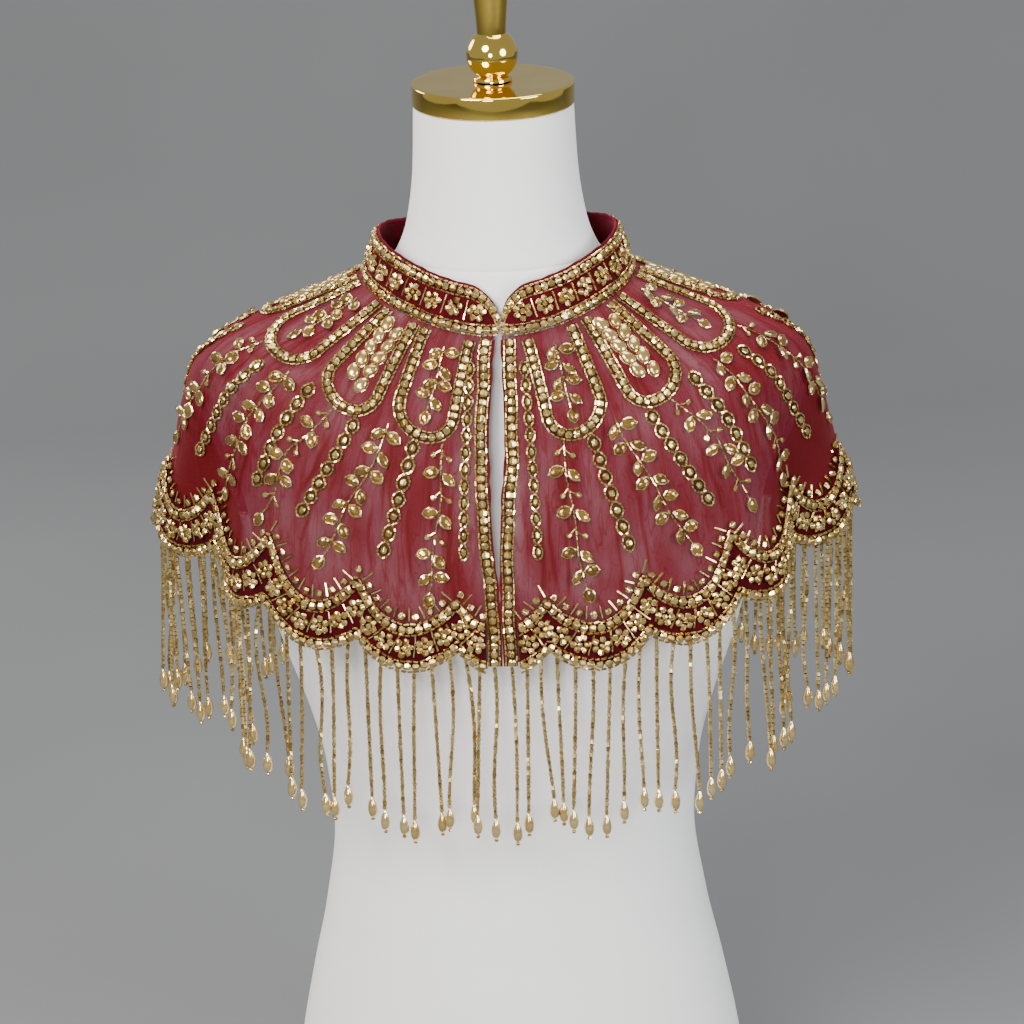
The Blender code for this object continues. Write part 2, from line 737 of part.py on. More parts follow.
def add_ribbon(name, route, width, rise, skin, surface):
    """Add a flat ribbon that lies on the net along a route.

    A route is a list of entries (angle, share, tilt), where tilt is the ribbon's direction on
    the net, 0 straight down and a quarter turn towards +X at the front.
    """
    feet = []
    ups = []
    for angle, share, tilt in route:
        _, radian, stretch = cape_directions(np.array([angle]), np.array([share]))
        across = (math.cos(tilt) / float(radian[0]), -math.sin(tilt) / float(stretch[0]))
        for sign in (-0.5, 0.5):
            edge_angle = angle + sign * width * across[0]
            edge_share = min(max(share + sign * width * across[1], 0.0), 1.0)
            foot, up = skin.seat(edge_angle, edge_share)
            feet.append(foot)
            ups.append(up)
    feet = np.array(feet)
    ups = np.array(ups)
    lifts = ribbon_lifts(feet, ups, skin)
    low = feet + lifts[:, None] * ups
    high = low + rise * ups
    vertices = []
    for start in range(0, len(low), 2):
        vertices += [low[start], low[start + 1], high[start], high[start + 1]]
    faces = [(0, 3, 1), (0, 2, 3)]
    last = 4 * (len(route) - 1)
    faces += [(last, last + 1, last + 3), (last, last + 3, last + 2)]
    for index in range(len(route) - 1):
        here = 4 * index
        there = here + 4
        for near, far in ((0, 1), (1, 3), (3, 2), (2, 0)):
            faces.append((here + near, here + far, there + far))
            faces.append((here + near, there + far, there + near))
    return add_object(name, vertices, faces, surface)


def ribbon_lifts(feet, ups, skin):
    """Return how far each lower corner of a ribbon is lifted so that it clears the net.

    The corners come in pairs, left and right, one pair for each station.
    """
    lifts = np.full(len(feet), BRAID_LIFT)
    steps = 4
    weights = [(a / steps, b / steps, (steps - a - b) / steps)
               for a in range(steps + 1) for b in range(steps + 1 - a)]
    for _ in range(4):
        for start in range(0, len(feet) - 2, 2):
            for corners in ((start, start + 1, start + 3), (start, start + 3, start + 2)):
                corners = list(corners)
                up = ups[corners].mean(axis=0)
                for weight in weights:
                    weight = np.array(weight)
                    low = feet[corners] + lifts[corners][:, None] * ups[corners]
                    missing = BRAID_LIFT - skin.clearance(weight @ low, up)
                    if missing > 0.0:
                        lifts[corners] += missing * weight / np.dot(weight, weight)
    return lifts


class Petal(NamedTuple):
    """A petal's two legs, by angle at the neckline and where its round end begins.

    The pull turns it towards -X, with the net.
    """
    first_top: float
    first_end: float
    last_top: float
    last_end: float
    end_length: float
    pull: float


PETALS = (
    Petal(12.6, 16.0, 32.7, 33.8, 0.0530, 0.8),
    Petal(38.9, 41.0, 52.8, 56.0, 0.0555, 0.0),
    Petal(58.9, 62.0, 78.6, 80.6, 0.0520, 0.0),
    Petal(84.9, 87.0, 99.5, 100.2, 0.0560, 0.0),
    Petal(105.6, 107.5, 120.4, 121.5, 0.0550, 0.0),
    Petal(126.9, 127.8, 142.2, 143.2, 0.0550, 0.0),
    Petal(149.2, 148.8, 164.9, 166.0, 0.0550, 0.0),
    Petal(172.3, 171.0, 187.7, 189.0, 0.0550, 0.0),
)


def petal_route(petal, side):
    """Return the route of a petal's braid: down one leg, round its end and up the other."""
    legs = [(petal.first_top, petal.first_end), (petal.last_top, petal.last_end)]
    if side < 0.0:
        legs = [(-top, -end) for top, end in reversed(legs)]
    legs = [(top - petal.pull, end - petal.pull) for top, end in legs]
    stations = [[], []]
    for points, (top, end) in zip(stations, legs):
        for index in range(PETAL_LEG_STATIONS):
            part = index / PETAL_LEG_STATIONS
            angle = math.radians(top + (end - top) * part ** PETAL_FLARE)
            points.append((angle, PETAL_TOP + (petal.end_length - PETAL_TOP) * part))
    middle = math.radians(0.5 * (legs[0][1] + legs[1][1]))
    spread = math.radians(0.5 * (legs[1][1] - legs[0][1]))
    share = petal.end_length / cape_length(middle)
    _, radian, _ = cape_directions(np.array([middle]), np.array([share]))
    radius = spread * float(radian[0])
    end = []
    for index in range(PETAL_ROUND_STATIONS):
        bearing = math.pi * index / (PETAL_ROUND_STATIONS - 1)
        end.append((middle - spread * math.cos(bearing), petal.end_length + radius * math.sin(bearing)))
    return tilted(stations[0] + end + stations[1][::-1])


def tilted(places):
    """Return a ribbon's route through places given by angle and by length."""
    route = []
    for index, (angle, length) in enumerate(places):
        before = places[max(index - 1, 0)]
        after = places[min(index + 1, len(places) - 1)]
        share = length / cape_length(angle)
        _, radian, _ = cape_directions(np.array([angle]), np.array([share]))
        tilt = math.atan2((after[0] - before[0]) * float(radian[0]), after[1] - before[1])
        route.append((angle, share, tilt))
    return route


def add_petals(skin, surface):
    """Add the petal braids round the neckline."""
    for index, petal in enumerate(PETALS, 1):
        at_back = index == len(PETALS)
        for side in (1.0,) if at_back else (1.0, -1.0):
            word = "centre_back" if at_back else f"{'right' if side > 0.0 else 'left'}_{index}"
            add_ribbon("petal_" + word, petal_route(petal, side), BRAID_WIDTH, BRAID_RISE, skin, surface)


class Chain(NamedTuple):
    """The chain above one cusp: its two ends, each an angle and a length, and its width.

    The pull turns it towards -X, with the net.
    """
    top_angle: float
    top_length: float
    end_angle: float
    end_length: float
    width: float
    pull: float


CHAINS = (
    Chain(10.7, 0.043, 10.3, 0.142, 0.0052, 1.6),
    Chain(27.9, 0.078, 32.8, 0.151, 0.0080, 0.0),
    Chain(44.2, 0.078, 51.7, 0.149, 0.0080, 0.0),
    Chain(57.3, 0.076, 61.6, 0.149, 0.0080, 0.0),
    Chain(70.5, 0.085, 79.0, 0.171, 0.0080, 0.0),
    Chain(87.5, 0.087, 98.0, 0.176, 0.0080, 0.0),
    Chain(105.0, 0.083, 115.0, 0.170, 0.0080, 0.0),
    Chain(128.0, 0.083, 136.0, 0.165, 0.0080, 0.0),
    Chain(154.0, 0.083, 162.0, 0.163, 0.0080, 0.0),
)


def chain_route(chain, side):
    """Return the route of one chain, from its top down towards its cusp."""
    route = []
    fall = chain.end_length - chain.top_length
    swing = math.radians(chain.end_angle - chain.top_angle)
    for station in range(CHAIN_STATIONS):
        down = station / (CHAIN_STATIONS - 1)
        angle = side * (math.radians(chain.top_angle) + swing * down ** CHAIN_DRIFT_POWER)
        angle -= math.radians(chain.pull)
        share = (chain.top_length + fall * down) / cape_length(angle)
        _, radian, _ = cape_directions(np.array([angle]), np.array([share]))
        route.append((angle, share, math.atan(side * swing * float(radian[0]) / fall)))
    return route


def add_chains(skin, surface):
    """Add the chains of bead rings that run down the net to each cusp."""
    for index in range(CUSPS):
        for side, word in ((1.0, "right"), (-1.0, "left")):
            route = chain_route(CHAINS[index], side)
            add_ribbon(f"chain_{word}_{index + 1}", route, CHAINS[index].width, CHAIN_RISE, skin, surface)


def add_front_bands(skin, surface):
    """Add the bead bands down the two free front edges."""
    for side, word in ((1.0, "right"), (-1.0, "left")):
        total = cape_length(side * 1e-6)
        hem = total - EDGE_TUCK
        route = []
        for station in range(BAND_STATIONS):
            length = BAND_TOP + (hem - BAND_TOP) * station / (BAND_STATIONS - 1)
            share = length / total
            edge = float(front_edge_angle(np.array([share]), side)[0])
            _, radian, _ = cape_directions(np.array([side * edge]), np.array([share]))
            route.append((side * (edge + BAND_INSET / float(radian[0])), share, 0.0))
        add_ribbon(f"front_band_{word}", route, BAND_WIDTH, BRAID_RISE, skin, surface)


def collar_angles():
    """Return the collar's columns from its right end round the back to its left end."""
    out = CAPE_STATIONS[0].front_out
    end = math.asin(COLLAR_END_GAP / out)
    corner = COLLAR_CORNER / out
    ramp = [end + corner * (1.0 - math.cos(0.5 * math.pi * index / CORNER_COLUMNS))
            for index in range(CORNER_COLUMNS)]
    start = end + corner
    middle = list(np.linspace(start, 2.0 * math.pi - start, COLLAR_COLUMNS + 1))
    return ramp + middle + [2.0 * math.pi - angle for angle in reversed(ramp)]


def collar_height(angle):
    """Return the collar's height, which rounds away at its two front ends."""
    out = CAPE_STATIONS[0].front_out
    end = math.asin(COLLAR_END_GAP / out)
    from_end = (min(angle, 2.0 * math.pi - angle) - end) * out
    missing = max(1.0 - from_end / COLLAR_CORNER, 0.0)
    full = math.sqrt(max(1.0 - missing ** 2, 0.0))
    return COLLAR_END_HEIGHT + (COLLAR_HEIGHT - COLLAR_END_HEIGHT) * full


def add_collar(surface):
    """Add the standing collar, with raised bead braids along both edges."""
    levels = (0.0, 0.24, 0.27, 0.73, 0.76, 1.0)
    rises = (1.0, 1.0, 0.0, 0.0, 1.0, 1.0)
    inner_rows = []
    outer_rows = []
    angles = collar_angles()
    for level, rise in reversed(list(zip(levels, rises))):
        inner = []
        outer = []
        for angle in angles:
            out, height = plain_cape_point(np.array([angle]), np.array([0.0]))
            level_height = float(height[0]) + COLLAR_LIFT + collar_height(angle) * level
            neck = float(form_radius(np.array([angle]), np.array([level_height]))[0])
            lean = float(out[0]) - 0.5 * COLLAR_WALL - COLLAR_LEAN * level
            radius = max(lean, neck + COLLAR_REST_GAP)
            wall = COLLAR_WALL + COLLAR_BRAID_RISE * rise
            direction = np.array([math.sin(angle), -math.cos(angle), 0.0])
            inner.append(radius * direction + np.array([0.0, 0.0, level_height]))
            outer.append((radius + wall) * direction + np.array([0.0, 0.0, level_height]))
        inner_rows.append(inner)
        outer_rows.append(outer)
    return add_wall("collar", np.array(inner_rows), np.array(outer_rows), surface)


def clear_scene():
    """Remove every object of the open file."""
    for existing in list(bpy.data.objects):
        bpy.data.objects.remove(existing, do_unlink=True)


def build():
    """Build the capelet and its dress form."""
    clear_scene()
    jersey = material("jersey", (0.80, 0.78, 0.75), 0.85, 0.0)
    gold_metal = material("gold_metal", (0.85, 0.62, 0.22), 0.15, 1.0)
    net = material("net", (0.30, 0.03, 0.07), 0.75, 0.0)
    velvet = material("velvet", (0.22, 0.01, 0.02), 0.90, 0.0)
    beads = material("beads", (0.70, 0.52, 0.26), 0.35, 0.8)

    add_form_body(jersey)
    add_neck_cap(gold_metal)
    add_finial(gold_metal)

    random = np.random.default_rng(7)
    skins = []
    for run in panel_runs():
        points, normals = net_grid(run.turns, run.side)
        skins.append(add_panel(run, points, normals, net))
        add_border(run, points, normals, velvet)
        add_fringe(run, points, normals, beads, random)
    skin = Skin(skins)
    add_collar(velvet)
    add_front_bands(skin, beads)
    add_petals(skin, beads)
    add_chains(skin, beads)


build()
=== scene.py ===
"""Looks of a beaded net capelet on its limbless dress form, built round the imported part.

Metres, +Z up, the garment's front towards -Y. An angle is measured round the neck's axis from
the front (0) towards +X. A length is measured down the net from the neckline.
"""

import logging
import math
from dataclasses import dataclass, field
from enum import Enum, IntEnum
from typing import Iterator, Sequence

import bpy
import numpy as np
from mathutils import Matrix, Vector


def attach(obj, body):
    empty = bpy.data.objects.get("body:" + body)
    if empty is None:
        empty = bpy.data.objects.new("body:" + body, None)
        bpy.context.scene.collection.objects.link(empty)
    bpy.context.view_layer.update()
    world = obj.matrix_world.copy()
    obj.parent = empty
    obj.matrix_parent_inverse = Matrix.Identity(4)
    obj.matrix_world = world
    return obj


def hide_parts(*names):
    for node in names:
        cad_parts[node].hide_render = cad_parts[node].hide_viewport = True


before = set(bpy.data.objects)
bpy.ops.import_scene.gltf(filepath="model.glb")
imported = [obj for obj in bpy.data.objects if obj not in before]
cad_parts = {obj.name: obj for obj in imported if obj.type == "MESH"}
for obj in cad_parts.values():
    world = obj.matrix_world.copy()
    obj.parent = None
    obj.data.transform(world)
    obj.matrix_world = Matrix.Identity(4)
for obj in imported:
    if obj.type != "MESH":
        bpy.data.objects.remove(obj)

Array = np.ndarray
Colour = tuple[float, float, float]
Tint = tuple[float, float, float, float]
Material = bpy.types.Material
Piece = bpy.types.Object
Socket = bpy.types.NodeSocket

LOG = logging.getLogger("capelet")
BODY = "root"

# Where the cloth lies, as in the part
SCALLOP_PITCH = 0.1105
FIRST_CUSP = 0.048
CUSPS = 9
LAST_CUSP = FIRST_CUSP + (CUSPS - 1) * SCALLOP_PITCH
SEAM_TURN = FIRST_CUSP + 4 * SCALLOP_PITCH
SCALLOP_DEPTH = 0.015
FLUTE_DEPTH = 0.0020
BORDER_HEIGHT = 0.029
NET_WALL = 0.0012
SEAM_GAP = 0.0003
REST_GAP = 0.0011
REST_SOFTNESS = 0.0016
EDGE_TUCK = 0.0040

# How beads are sewn: tube beads' girth and pitch, and how far beads stray from true, in radians
FINE_TUBE = 0.0012
STURDY_TUBE = 0.0014
TUBE_PITCH = 0.0034
LOOSE = 0.14
LEAF_TILT = 0.55
LEAF_HEIGHT = 0.0027

FORM_SECTIONS = np.array([
    # height, half width, front, back
    (0.000, 0.1640, 0.1060, 0.1200),
    (0.060, 0.1590, 0.1050, 0.1190),
    (0.100, 0.1530, 0.1030, 0.1150),
    (0.150, 0.1430, 0.0980, 0.1050),
    (0.200, 0.1320, 0.0930, 0.0920),
    (0.260, 0.1240, 0.0900, 0.0820),
    (0.310, 0.1280, 0.0950, 0.0860),
    (0.355, 0.1385, 0.1040, 0.0940),
    (0.400, 0.1530, 0.1140, 0.1020),
    (0.450, 0.1645, 0.1190, 0.1080),
    (0.500, 0.1730, 0.1120, 0.1100),
    (0.550, 0.1900, 0.1000, 0.1040),
    (0.580, 0.1980, 0.0905, 0.0960),
    (0.599, 0.1880, 0.0830, 0.0885),
    (0.614, 0.1640, 0.0765, 0.0790),
    (0.629, 0.1300, 0.0700, 0.0705),
    (0.645, 0.0935, 0.0640, 0.0620),
    (0.661, 0.0680, 0.0590, 0.0572),
    (0.685, 0.0580, 0.0550, 0.0545),
    (0.720, 0.0530, 0.0525, 0.0525),
    (0.7592, 0.0512, 0.0512, 0.0512),
])
BUST_RISE = 0.0085
BUST_ANGLE = math.radians(33.0)
BUST_SPREAD = math.radians(21.0)
BUST_HEIGHT = 0.447
BUST_TALL = 0.050

CAPE_STATIONS = np.array([
    # share, side out, side height, front out, front height, back out, back height
    (0.000, 0.0850, 0.6500, 0.0790, 0.6290, 0.0680, 0.6430),
    (0.125, 0.1155, 0.6375, 0.0915, 0.6055, 0.0865, 0.6200),
    (0.250, 0.1455, 0.6260, 0.1030, 0.5815, 0.1010, 0.5950),
    (0.375, 0.1742, 0.6140, 0.1125, 0.5570, 0.1115, 0.5690),
    (0.500, 0.1980, 0.5955, 0.1205, 0.5320, 0.1185, 0.5425),
    (0.625, 0.2100, 0.5650, 0.1270, 0.5060, 0.1225, 0.5140),
    (0.750, 0.2175, 0.5340, 0.1320, 0.4800, 0.1250, 0.4850),
    (0.875, 0.2255, 0.5035, 0.1360, 0.4535, 0.1270, 0.4560),
    (1.000, 0.2325, 0.4745, 0.1390, 0.4270, 0.1290, 0.4270),
])
FRONT_LEVEL_NECK = 2.0
FRONT_LEVEL_HEM = 4.0
BACK_LEVEL = 4.5
FOLDS = (
    # angle, depth, spread, start
    (74.0, 0.0260, 9.5, 0.38),
    (-74.0, 0.0260, 9.5, 0.38),
    (112.0, 0.0170, 10.5, 0.42),
    (-112.0, 0.0170, 10.5, 0.42),
)
FRONT_GAPS = np.array([
    # share, right edge from the centre, left edge from the centre
    (0.00, 0.0008, 0.0035),
    (0.05, 0.0010, 0.0054),
    (0.17, 0.0011, 0.0072),
    (0.36, 0.0009, 0.0098),
    (0.50, -0.0020, 0.0096),
    (0.67, -0.0040, 0.0078),
    (0.80, -0.0042, 0.0056),
    (1.00, -0.0034, 0.0048),
])
BORDER_PEAKS = np.array([
    # turn, rise over a cusp there
    (0.000, 0.0030),
    (0.048, 0.0030),
    (0.158, 0.0090),
    (0.269, 0.0150),
    (0.380, 0.0110),
    (1.000, 0.0100),
])


def curve_through(x: Array, known_x: Array, known_y: Array) -> Array:
    """Read a smooth curve through known points, without overshoot.

    Args:
        x: Where to read it.
        known_x: Rising places of the known points.
        known_y: Values there.

    Returns:
        The values at x.
    """
    step = np.diff(known_x)
    slope = np.diff(known_y) / step
    product = slope[:-1] * slope[1:]
    total = slope[:-1] + slope[1:]
    tangent = np.zeros(len(known_x))
    tangent[0] = slope[0]
    tangent[-1] = slope[-1]
    safe = np.where(product > 0.0, total, 1.0)
    tangent[1:-1] = np.where(product > 0.0, 2.0 * product / safe, 0.0)
    x = np.clip(np.asarray(x, dtype=float), known_x[0], known_x[-1])
    left = np.clip(np.searchsorted(known_x, x, side="right") - 1, 0, len(step) - 1)
    width = step[left]
    t = (x - known_x[left]) / width
    start = known_y[left] * (1.0 + 2.0 * t) * (1.0 - t) ** 2
    end = known_y[left + 1] * t * t * (3.0 - 2.0 * t)
    bend = width * t * (1.0 - t) * (tangent[left] * (1.0 - t) - tangent[left + 1] * t)
    return start + end + bend


def oval_radius(angle: Array, half_width: Array, depth: Array) -> Array:
    """Return the radius of an oval of that half width and depth at an angle."""
    return 1.0 / np.sqrt((np.sin(angle) / half_width) ** 2 + (np.cos(angle) / depth) ** 2)


def form_radius(angle: Array, height: Array) -> Array:
    """Return the distance of the form's surface from the neck's axis.

    Args:
        angle: Angles round the neck.
        height: Heights there.

    Returns:
        The distances.
    """
    heights = FORM_SECTIONS[:, 0]
    half_width = curve_through(height, heights, FORM_SECTIONS[:, 1])
    front = curve_through(height, heights, FORM_SECTIONS[:, 2])
    back = curve_through(height, heights, FORM_SECTIONS[:, 3])
    depth = np.where(np.cos(angle) > 0.0, front, back)
    away = np.arctan2(np.sin(angle), np.cos(angle))
    level = np.exp(-((height - BUST_HEIGHT) / BUST_TALL) ** 2)
    right = np.exp(-((away - BUST_ANGLE) / BUST_SPREAD) ** 2)
    left = np.exp(-((away + BUST_ANGLE) / BUST_SPREAD) ** 2)
    return oval_radius(angle, half_width, depth) + BUST_RISE * level * (right + left)


def scallop_fill(turn: Array) -> Array:
    """Return 0 at a cusp of the hem and 1 at the lowest point of a scallop.

    Args:
        turn: Turns, with or without a sign.

    Returns:
        The share of a scallop's depth.
    """
    turn = np.abs(np.asarray(turn, dtype=float))
    across = (turn - FIRST_CUSP) / SCALLOP_PITCH % 1.0
    across = np.where(turn < FIRST_CUSP, 0.5 + 0.5 * turn / FIRST_CUSP, across)
    across = np.where(turn > LAST_CUSP, 0.5 * (turn - LAST_CUSP) / (1.0 - LAST_CUSP), across)
    return 1.0 - (2.0 * across - 1.0) ** 2


def border_peak(turn: Array) -> Array:
    """Return how much higher than its lowest part the hem's border is at a turn."""
    rise = curve_through(np.abs(turn), BORDER_PEAKS[:, 0], BORDER_PEAKS[:, 1])
    return rise * (1.0 - scallop_fill(turn))


def unit(vectors: Array) -> Array:
    """Return vectors scaled to length one."""
    return vectors / (np.linalg.norm(vectors, axis=-1, keepdims=True) + 1e-12)


@dataclass
class Trace:
    """A line on the cloth: its points and the cloth's outward direction at each."""

    points: Array
    normals: Array

    def tangents(self) -> Array:
        """Return the direction of travel at each point."""
        return unit(np.gradient(self.points, axis=0))

    def sides(self) -> Array:
        """Return the direction to the left of the travel, seen from outside."""
        return unit(np.cross(self.normals, self.tangents()))

    def beside(self, sideways: float | Array, lift: float | Array = 0.0) -> "Trace":
        """Return the line moved sideways and outwards.

        Args:
            sideways: How far to the left of the travel, one value or one for each point.
            lift: How far outwards.

        Returns:
            The moved line.
        """
        shift = np.asarray(sideways).reshape(-1, 1) * self.sides()
        shift = shift + np.asarray(lift).reshape(-1, 1) * self.normals
        return Trace(self.points + shift, self.normals)

    def length(self) -> float:
        """Return the length of the line."""
        return float(np.linalg.norm(np.diff(self.points, axis=0), axis=1).sum())

    def at(self, places: Array) -> tuple[Array, Array, Array]:
        """Return points, tangents and normals at distances along the line.

        Args:
            places: Distances from its start.

        Returns:
            The points, unit tangents and unit normals.
        """
        steps = np.linalg.norm(np.diff(self.points, axis=0), axis=1)
        along = np.concatenate([[0.0], np.cumsum(steps)])
        points, tangents, normals = (
            np.stack([np.interp(places, along, values[:, axis]) for axis in range(3)], axis=1)
            for values in (self.points, self.tangents(), self.normals)
        )
        return points, unit(tangents), unit(normals)

    def even(self, pitch: float, count: int = 0) -> tuple[Array, Array, Array, float]:
        """Share the line out evenly.

        Args:
            pitch: The wished distance between stations.
            count: The number of stations, or 0 to take it from the pitch.

        Returns:
            Station points, tangents and normals, and the pitch that came out.
        """
        length = self.length()
        count = count or max(1, int(round(length / pitch)))
        return *self.at((np.arange(count) + 0.5) * length / count), length / count


class Cape:
    """The form of the cape's cloth, read by angle and by length below the neckline."""

    angle_steps = 720
    share_steps = 128
    length_step = 0.001
    length_count = 290

    def __init__(self) -> None:
        """Work the form out once as a table."""
        half = np.linspace(0.0, math.pi, 361)
        out, height = self.plain(half, np.ones(361))
        rim = np.stack([out * np.sin(half), -out * np.cos(half), height], axis=1)
        turns = np.concatenate([[0.0], np.cumsum(np.linalg.norm(np.diff(rim, axis=0), axis=1))])
        self.hem_angles = half
        self.hem_turns = turns / turns[-1]
        self.half_hem = float(turns[-1])
        angles = np.linspace(-math.pi, math.pi, self.angle_steps + 1)
        shares = np.linspace(0.0, 1.0, self.share_steps + 1)
        grid_angle, grid_share = np.meshgrid(angles, shares, indexing="ij")
        points = self.point(grid_angle, grid_share)
        steps = np.linalg.norm(np.diff(points, axis=1), axis=2)
        along = np.concatenate([np.zeros((len(angles), 1)), np.cumsum(steps, axis=1)], axis=1)
        self.totals = along[:, -1]
        self.angles = angles
        lengths = np.arange(self.length_count) * self.length_step
        table = np.empty((len(angles), self.length_count, 3))
        for row in range(len(angles)):
            for axis in range(3):
                table[row, :, axis] = np.interp(lengths, along[row], points[row, :, axis])
            direction = unit(points[row, -1] - points[row, -2])
            beyond = np.clip(lengths - along[row, -1], 0.0, None)
            table[row] += beyond[:, None] * direction
        self.table = table
        down = np.gradient(table, axis=1)
        around = np.gradient(table, angles[1] - angles[0], axis=0)
        self.radians = np.linalg.norm(around, axis=2)
        self.normals = unit(np.cross(down, around))

    def plain(self, angle: Array, share: Array) -> tuple[Array, Array]:
        """Return the distance from the neck's axis and the height, before the flutes.

        Args:
            angle: Angles round the neck.
            share: Shares of the way from neckline to hem.

        Returns:
            The distances and the heights.
        """
        shares = CAPE_STATIONS[:, 0]
        side_out, side_height, front_out, front_height, back_out, back_height = (
            curve_through(share, shares, CAPE_STATIONS[:, column]) for column in range(1, 7)
        )
        in_front = np.cos(angle) > 0.0
        depth = np.where(in_front, front_out, back_out)
        front_power = FRONT_LEVEL_NECK + (FRONT_LEVEL_HEM - FRONT_LEVEL_NECK) * share
        side_part = np.abs(np.sin(angle)) ** np.where(in_front, front_power, BACK_LEVEL)
        middle_height = np.where(in_front, front_height, back_height)
        height = side_height * side_part + middle_height * (1.0 - side_part)
        around = np.degrees(np.arctan2(np.sin(angle), np.cos(angle)))
        sunk = 0.0
        for place, fold, spread, start in FOLDS:
            grown = np.clip((share - start) / (1.0 - start), 0.0, 1.0) ** 1.3
            sunk = sunk + fold * grown * np.exp(-((around - place) / spread) ** 2)
        hang = oval_radius(angle, side_out, depth) - sunk
        rest = form_radius(angle, height) + REST_GAP
        out = 0.5 * (hang + rest + np.sqrt((hang - rest) ** 2 + REST_SOFTNESS ** 2))
        return out, height

    def turn_of(self, angle: Array) -> Array:
        """Return the share of the half hem that belongs to an angle."""
        return np.sign(angle) * np.interp(np.abs(angle), self.hem_angles, self.hem_turns)

    def angle_of(self, turn: Array) -> Array:
        """Return the angle that belongs to a share of the half hem."""
        return np.sign(turn) * np.interp(np.abs(turn), self.hem_turns, self.hem_angles)

    def point(self, angle: Array, share: Array) -> Array:
        """Return a point of the net's inner face.

        Args:
            angle: Angles round the neck.
            share: Shares of the way from neckline to hem.

        Returns:
            The points.
        """
        out, height = self.plain(angle, share)
        around = np.arctan2(np.sin(angle), np.cos(angle))
        out = out + FLUTE_DEPTH * share ** 3 * scallop_fill(self.turn_of(around))
        return np.stack([out * np.sin(angle), -out * np.cos(angle), height + 0.0 * angle], axis=-1)

    def read(self, angle: Array, length: Array) -> tuple[Array, Array, Array]:
        """Read the form.

        Args:
            angle: Angles round the neck.
            length: Lengths below the neckline.

        Returns:
            Points of the inner face, outward directions, and metres per radian.
        """
        angle, length = np.broadcast_arrays(np.asarray(angle, float), np.asarray(length, float))
        row = ((angle + math.pi) % (2.0 * math.pi)) / (2.0 * math.pi) * self.angle_steps
        col = np.clip(length / self.length_step, 0.0, self.length_count - 1.001)
        i = np.clip(row.astype(int), 0, self.angle_steps - 1)
        j = col.astype(int)
        u = (row - i)[..., None]
        v = (col - j)[..., None]

        def blend(table: Array) -> Array:
            """Blend the four entries round each place.

            Args:
                table: Values by angle and length.

            Returns:
                The values at the places that are read.
            """
            low = table[i, j] * (1.0 - u) + table[i + 1, j] * u
            high = table[i, j + 1] * (1.0 - u) + table[i + 1, j + 1] * u
            return low * (1.0 - v) + high * v

        return blend(self.table), unit(blend(self.normals)), blend(self.radians[..., None])[..., 0]

    def total(self, angle: Array) -> Array:
        """Return the length of the net, from the neckline to the lowest scallop, at an angle."""
        around = (np.asarray(angle, float) + math.pi) % (2.0 * math.pi) - math.pi
        return np.interp(around, self.angles, self.totals)

    def opened(self, angle: Array, share: Array) -> Array:
        """Return an angle after the net has made room for the gap between its fronts."""
        edge = self.front_edge(share, np.sign(angle))
        return np.sign(angle) * (edge + np.abs(angle) * (1.0 - edge / math.pi))

    def front_edge(self, share: Array, side: float | Array) -> Array:
        """Return how far a front's free edge lies from the centre, as an angle.

        Args:
            share: Shares of the way from neckline to hem.
            side: The side's sign.

        Returns:
            The angles, without a sign.
        """
        right = curve_through(share, FRONT_GAPS[:, 0], FRONT_GAPS[:, 1])
        left = curve_through(share, FRONT_GAPS[:, 0], FRONT_GAPS[:, 2])
        out = curve_through(share, CAPE_STATIONS[:, 0], CAPE_STATIONS[:, 3])
        return np.arcsin(np.where(np.asarray(side) > 0.0, right, left) / out)

    def hem_length(self, turn: Array) -> Array:
        """Return the length down to the scalloped hem at a turn."""
        return self.total(self.angle_of(turn)) - SCALLOP_DEPTH * (1.0 - scallop_fill(turn))

    def hem_trace(self, turns: Array, height: float | Array, lift: float) -> Trace:
        """Return a line that runs along the hem.

        Args:
            turns: Turns along it, with a sign for the side.
            height: How far above the hem's edge it runs.
            lift: How far outside the net's inner face.

        Returns:
            The line.
        """
        plain = self.angle_of(turns)
        length = self.hem_length(turns) - height
        angle = self.opened(plain, np.clip(length / self.total(plain), 0.0, 1.0))
        return self.trace(angle, length, lift)

    def trace(self, angle: Array, length: Array, lift: float) -> Trace:
        """Return a line on the net through angles and lengths, lifted off its inner face."""
        points, normals, _ = self.read(angle, length)
        return Trace(points + lift * normals, normals)

    def panels(self, free: float, pitch: float) -> Iterator[tuple[str, Array, Array]]:
        """Go through the three panels of the cloth.

        Args:
            free: Where the two fronts start, as a turn from the centre.
            pitch: The distance between turns, in metres.

        Yields:
            A panel's name, its turns from edge to edge, and those turns with a sign for the side.
        """
        seam = 0.5 * SEAM_GAP / self.half_hem
        spans = {
            "front_right": (free, SEAM_TURN - seam),
            "front_left": (-(SEAM_TURN - seam), -free),
            "back": (SEAM_TURN + seam, 2.0 - SEAM_TURN - seam),
        }
        for label, (first, last) in spans.items():
            turns = np.linspace(first, last, int((last - first) * self.half_hem / pitch))
            yield label, turns, np.where(turns > 1.0, turns - 2.0, turns)


class Side(Enum):
    """A side of the garment, seen in the front view."""

    RIGHT = 1.0
    LEFT = -1.0

    def word(self) -> str:
        """Return the word that names carry."""
        return self.name.lower()


class Finish(IntEnum):
    """A place in the palette of what is sewn on. A stone's glass follows its rim."""

    GOLD = 0
    RIM = 1
    AMBER = 2
    HONEY = 3
    # Dark tape under the beads, partly painted shade in the gaps between them
    TAPE_AND_SHADE = 4
    CRIMSON = 5
    PEARL = 6
    STRAND = 7


# Materials


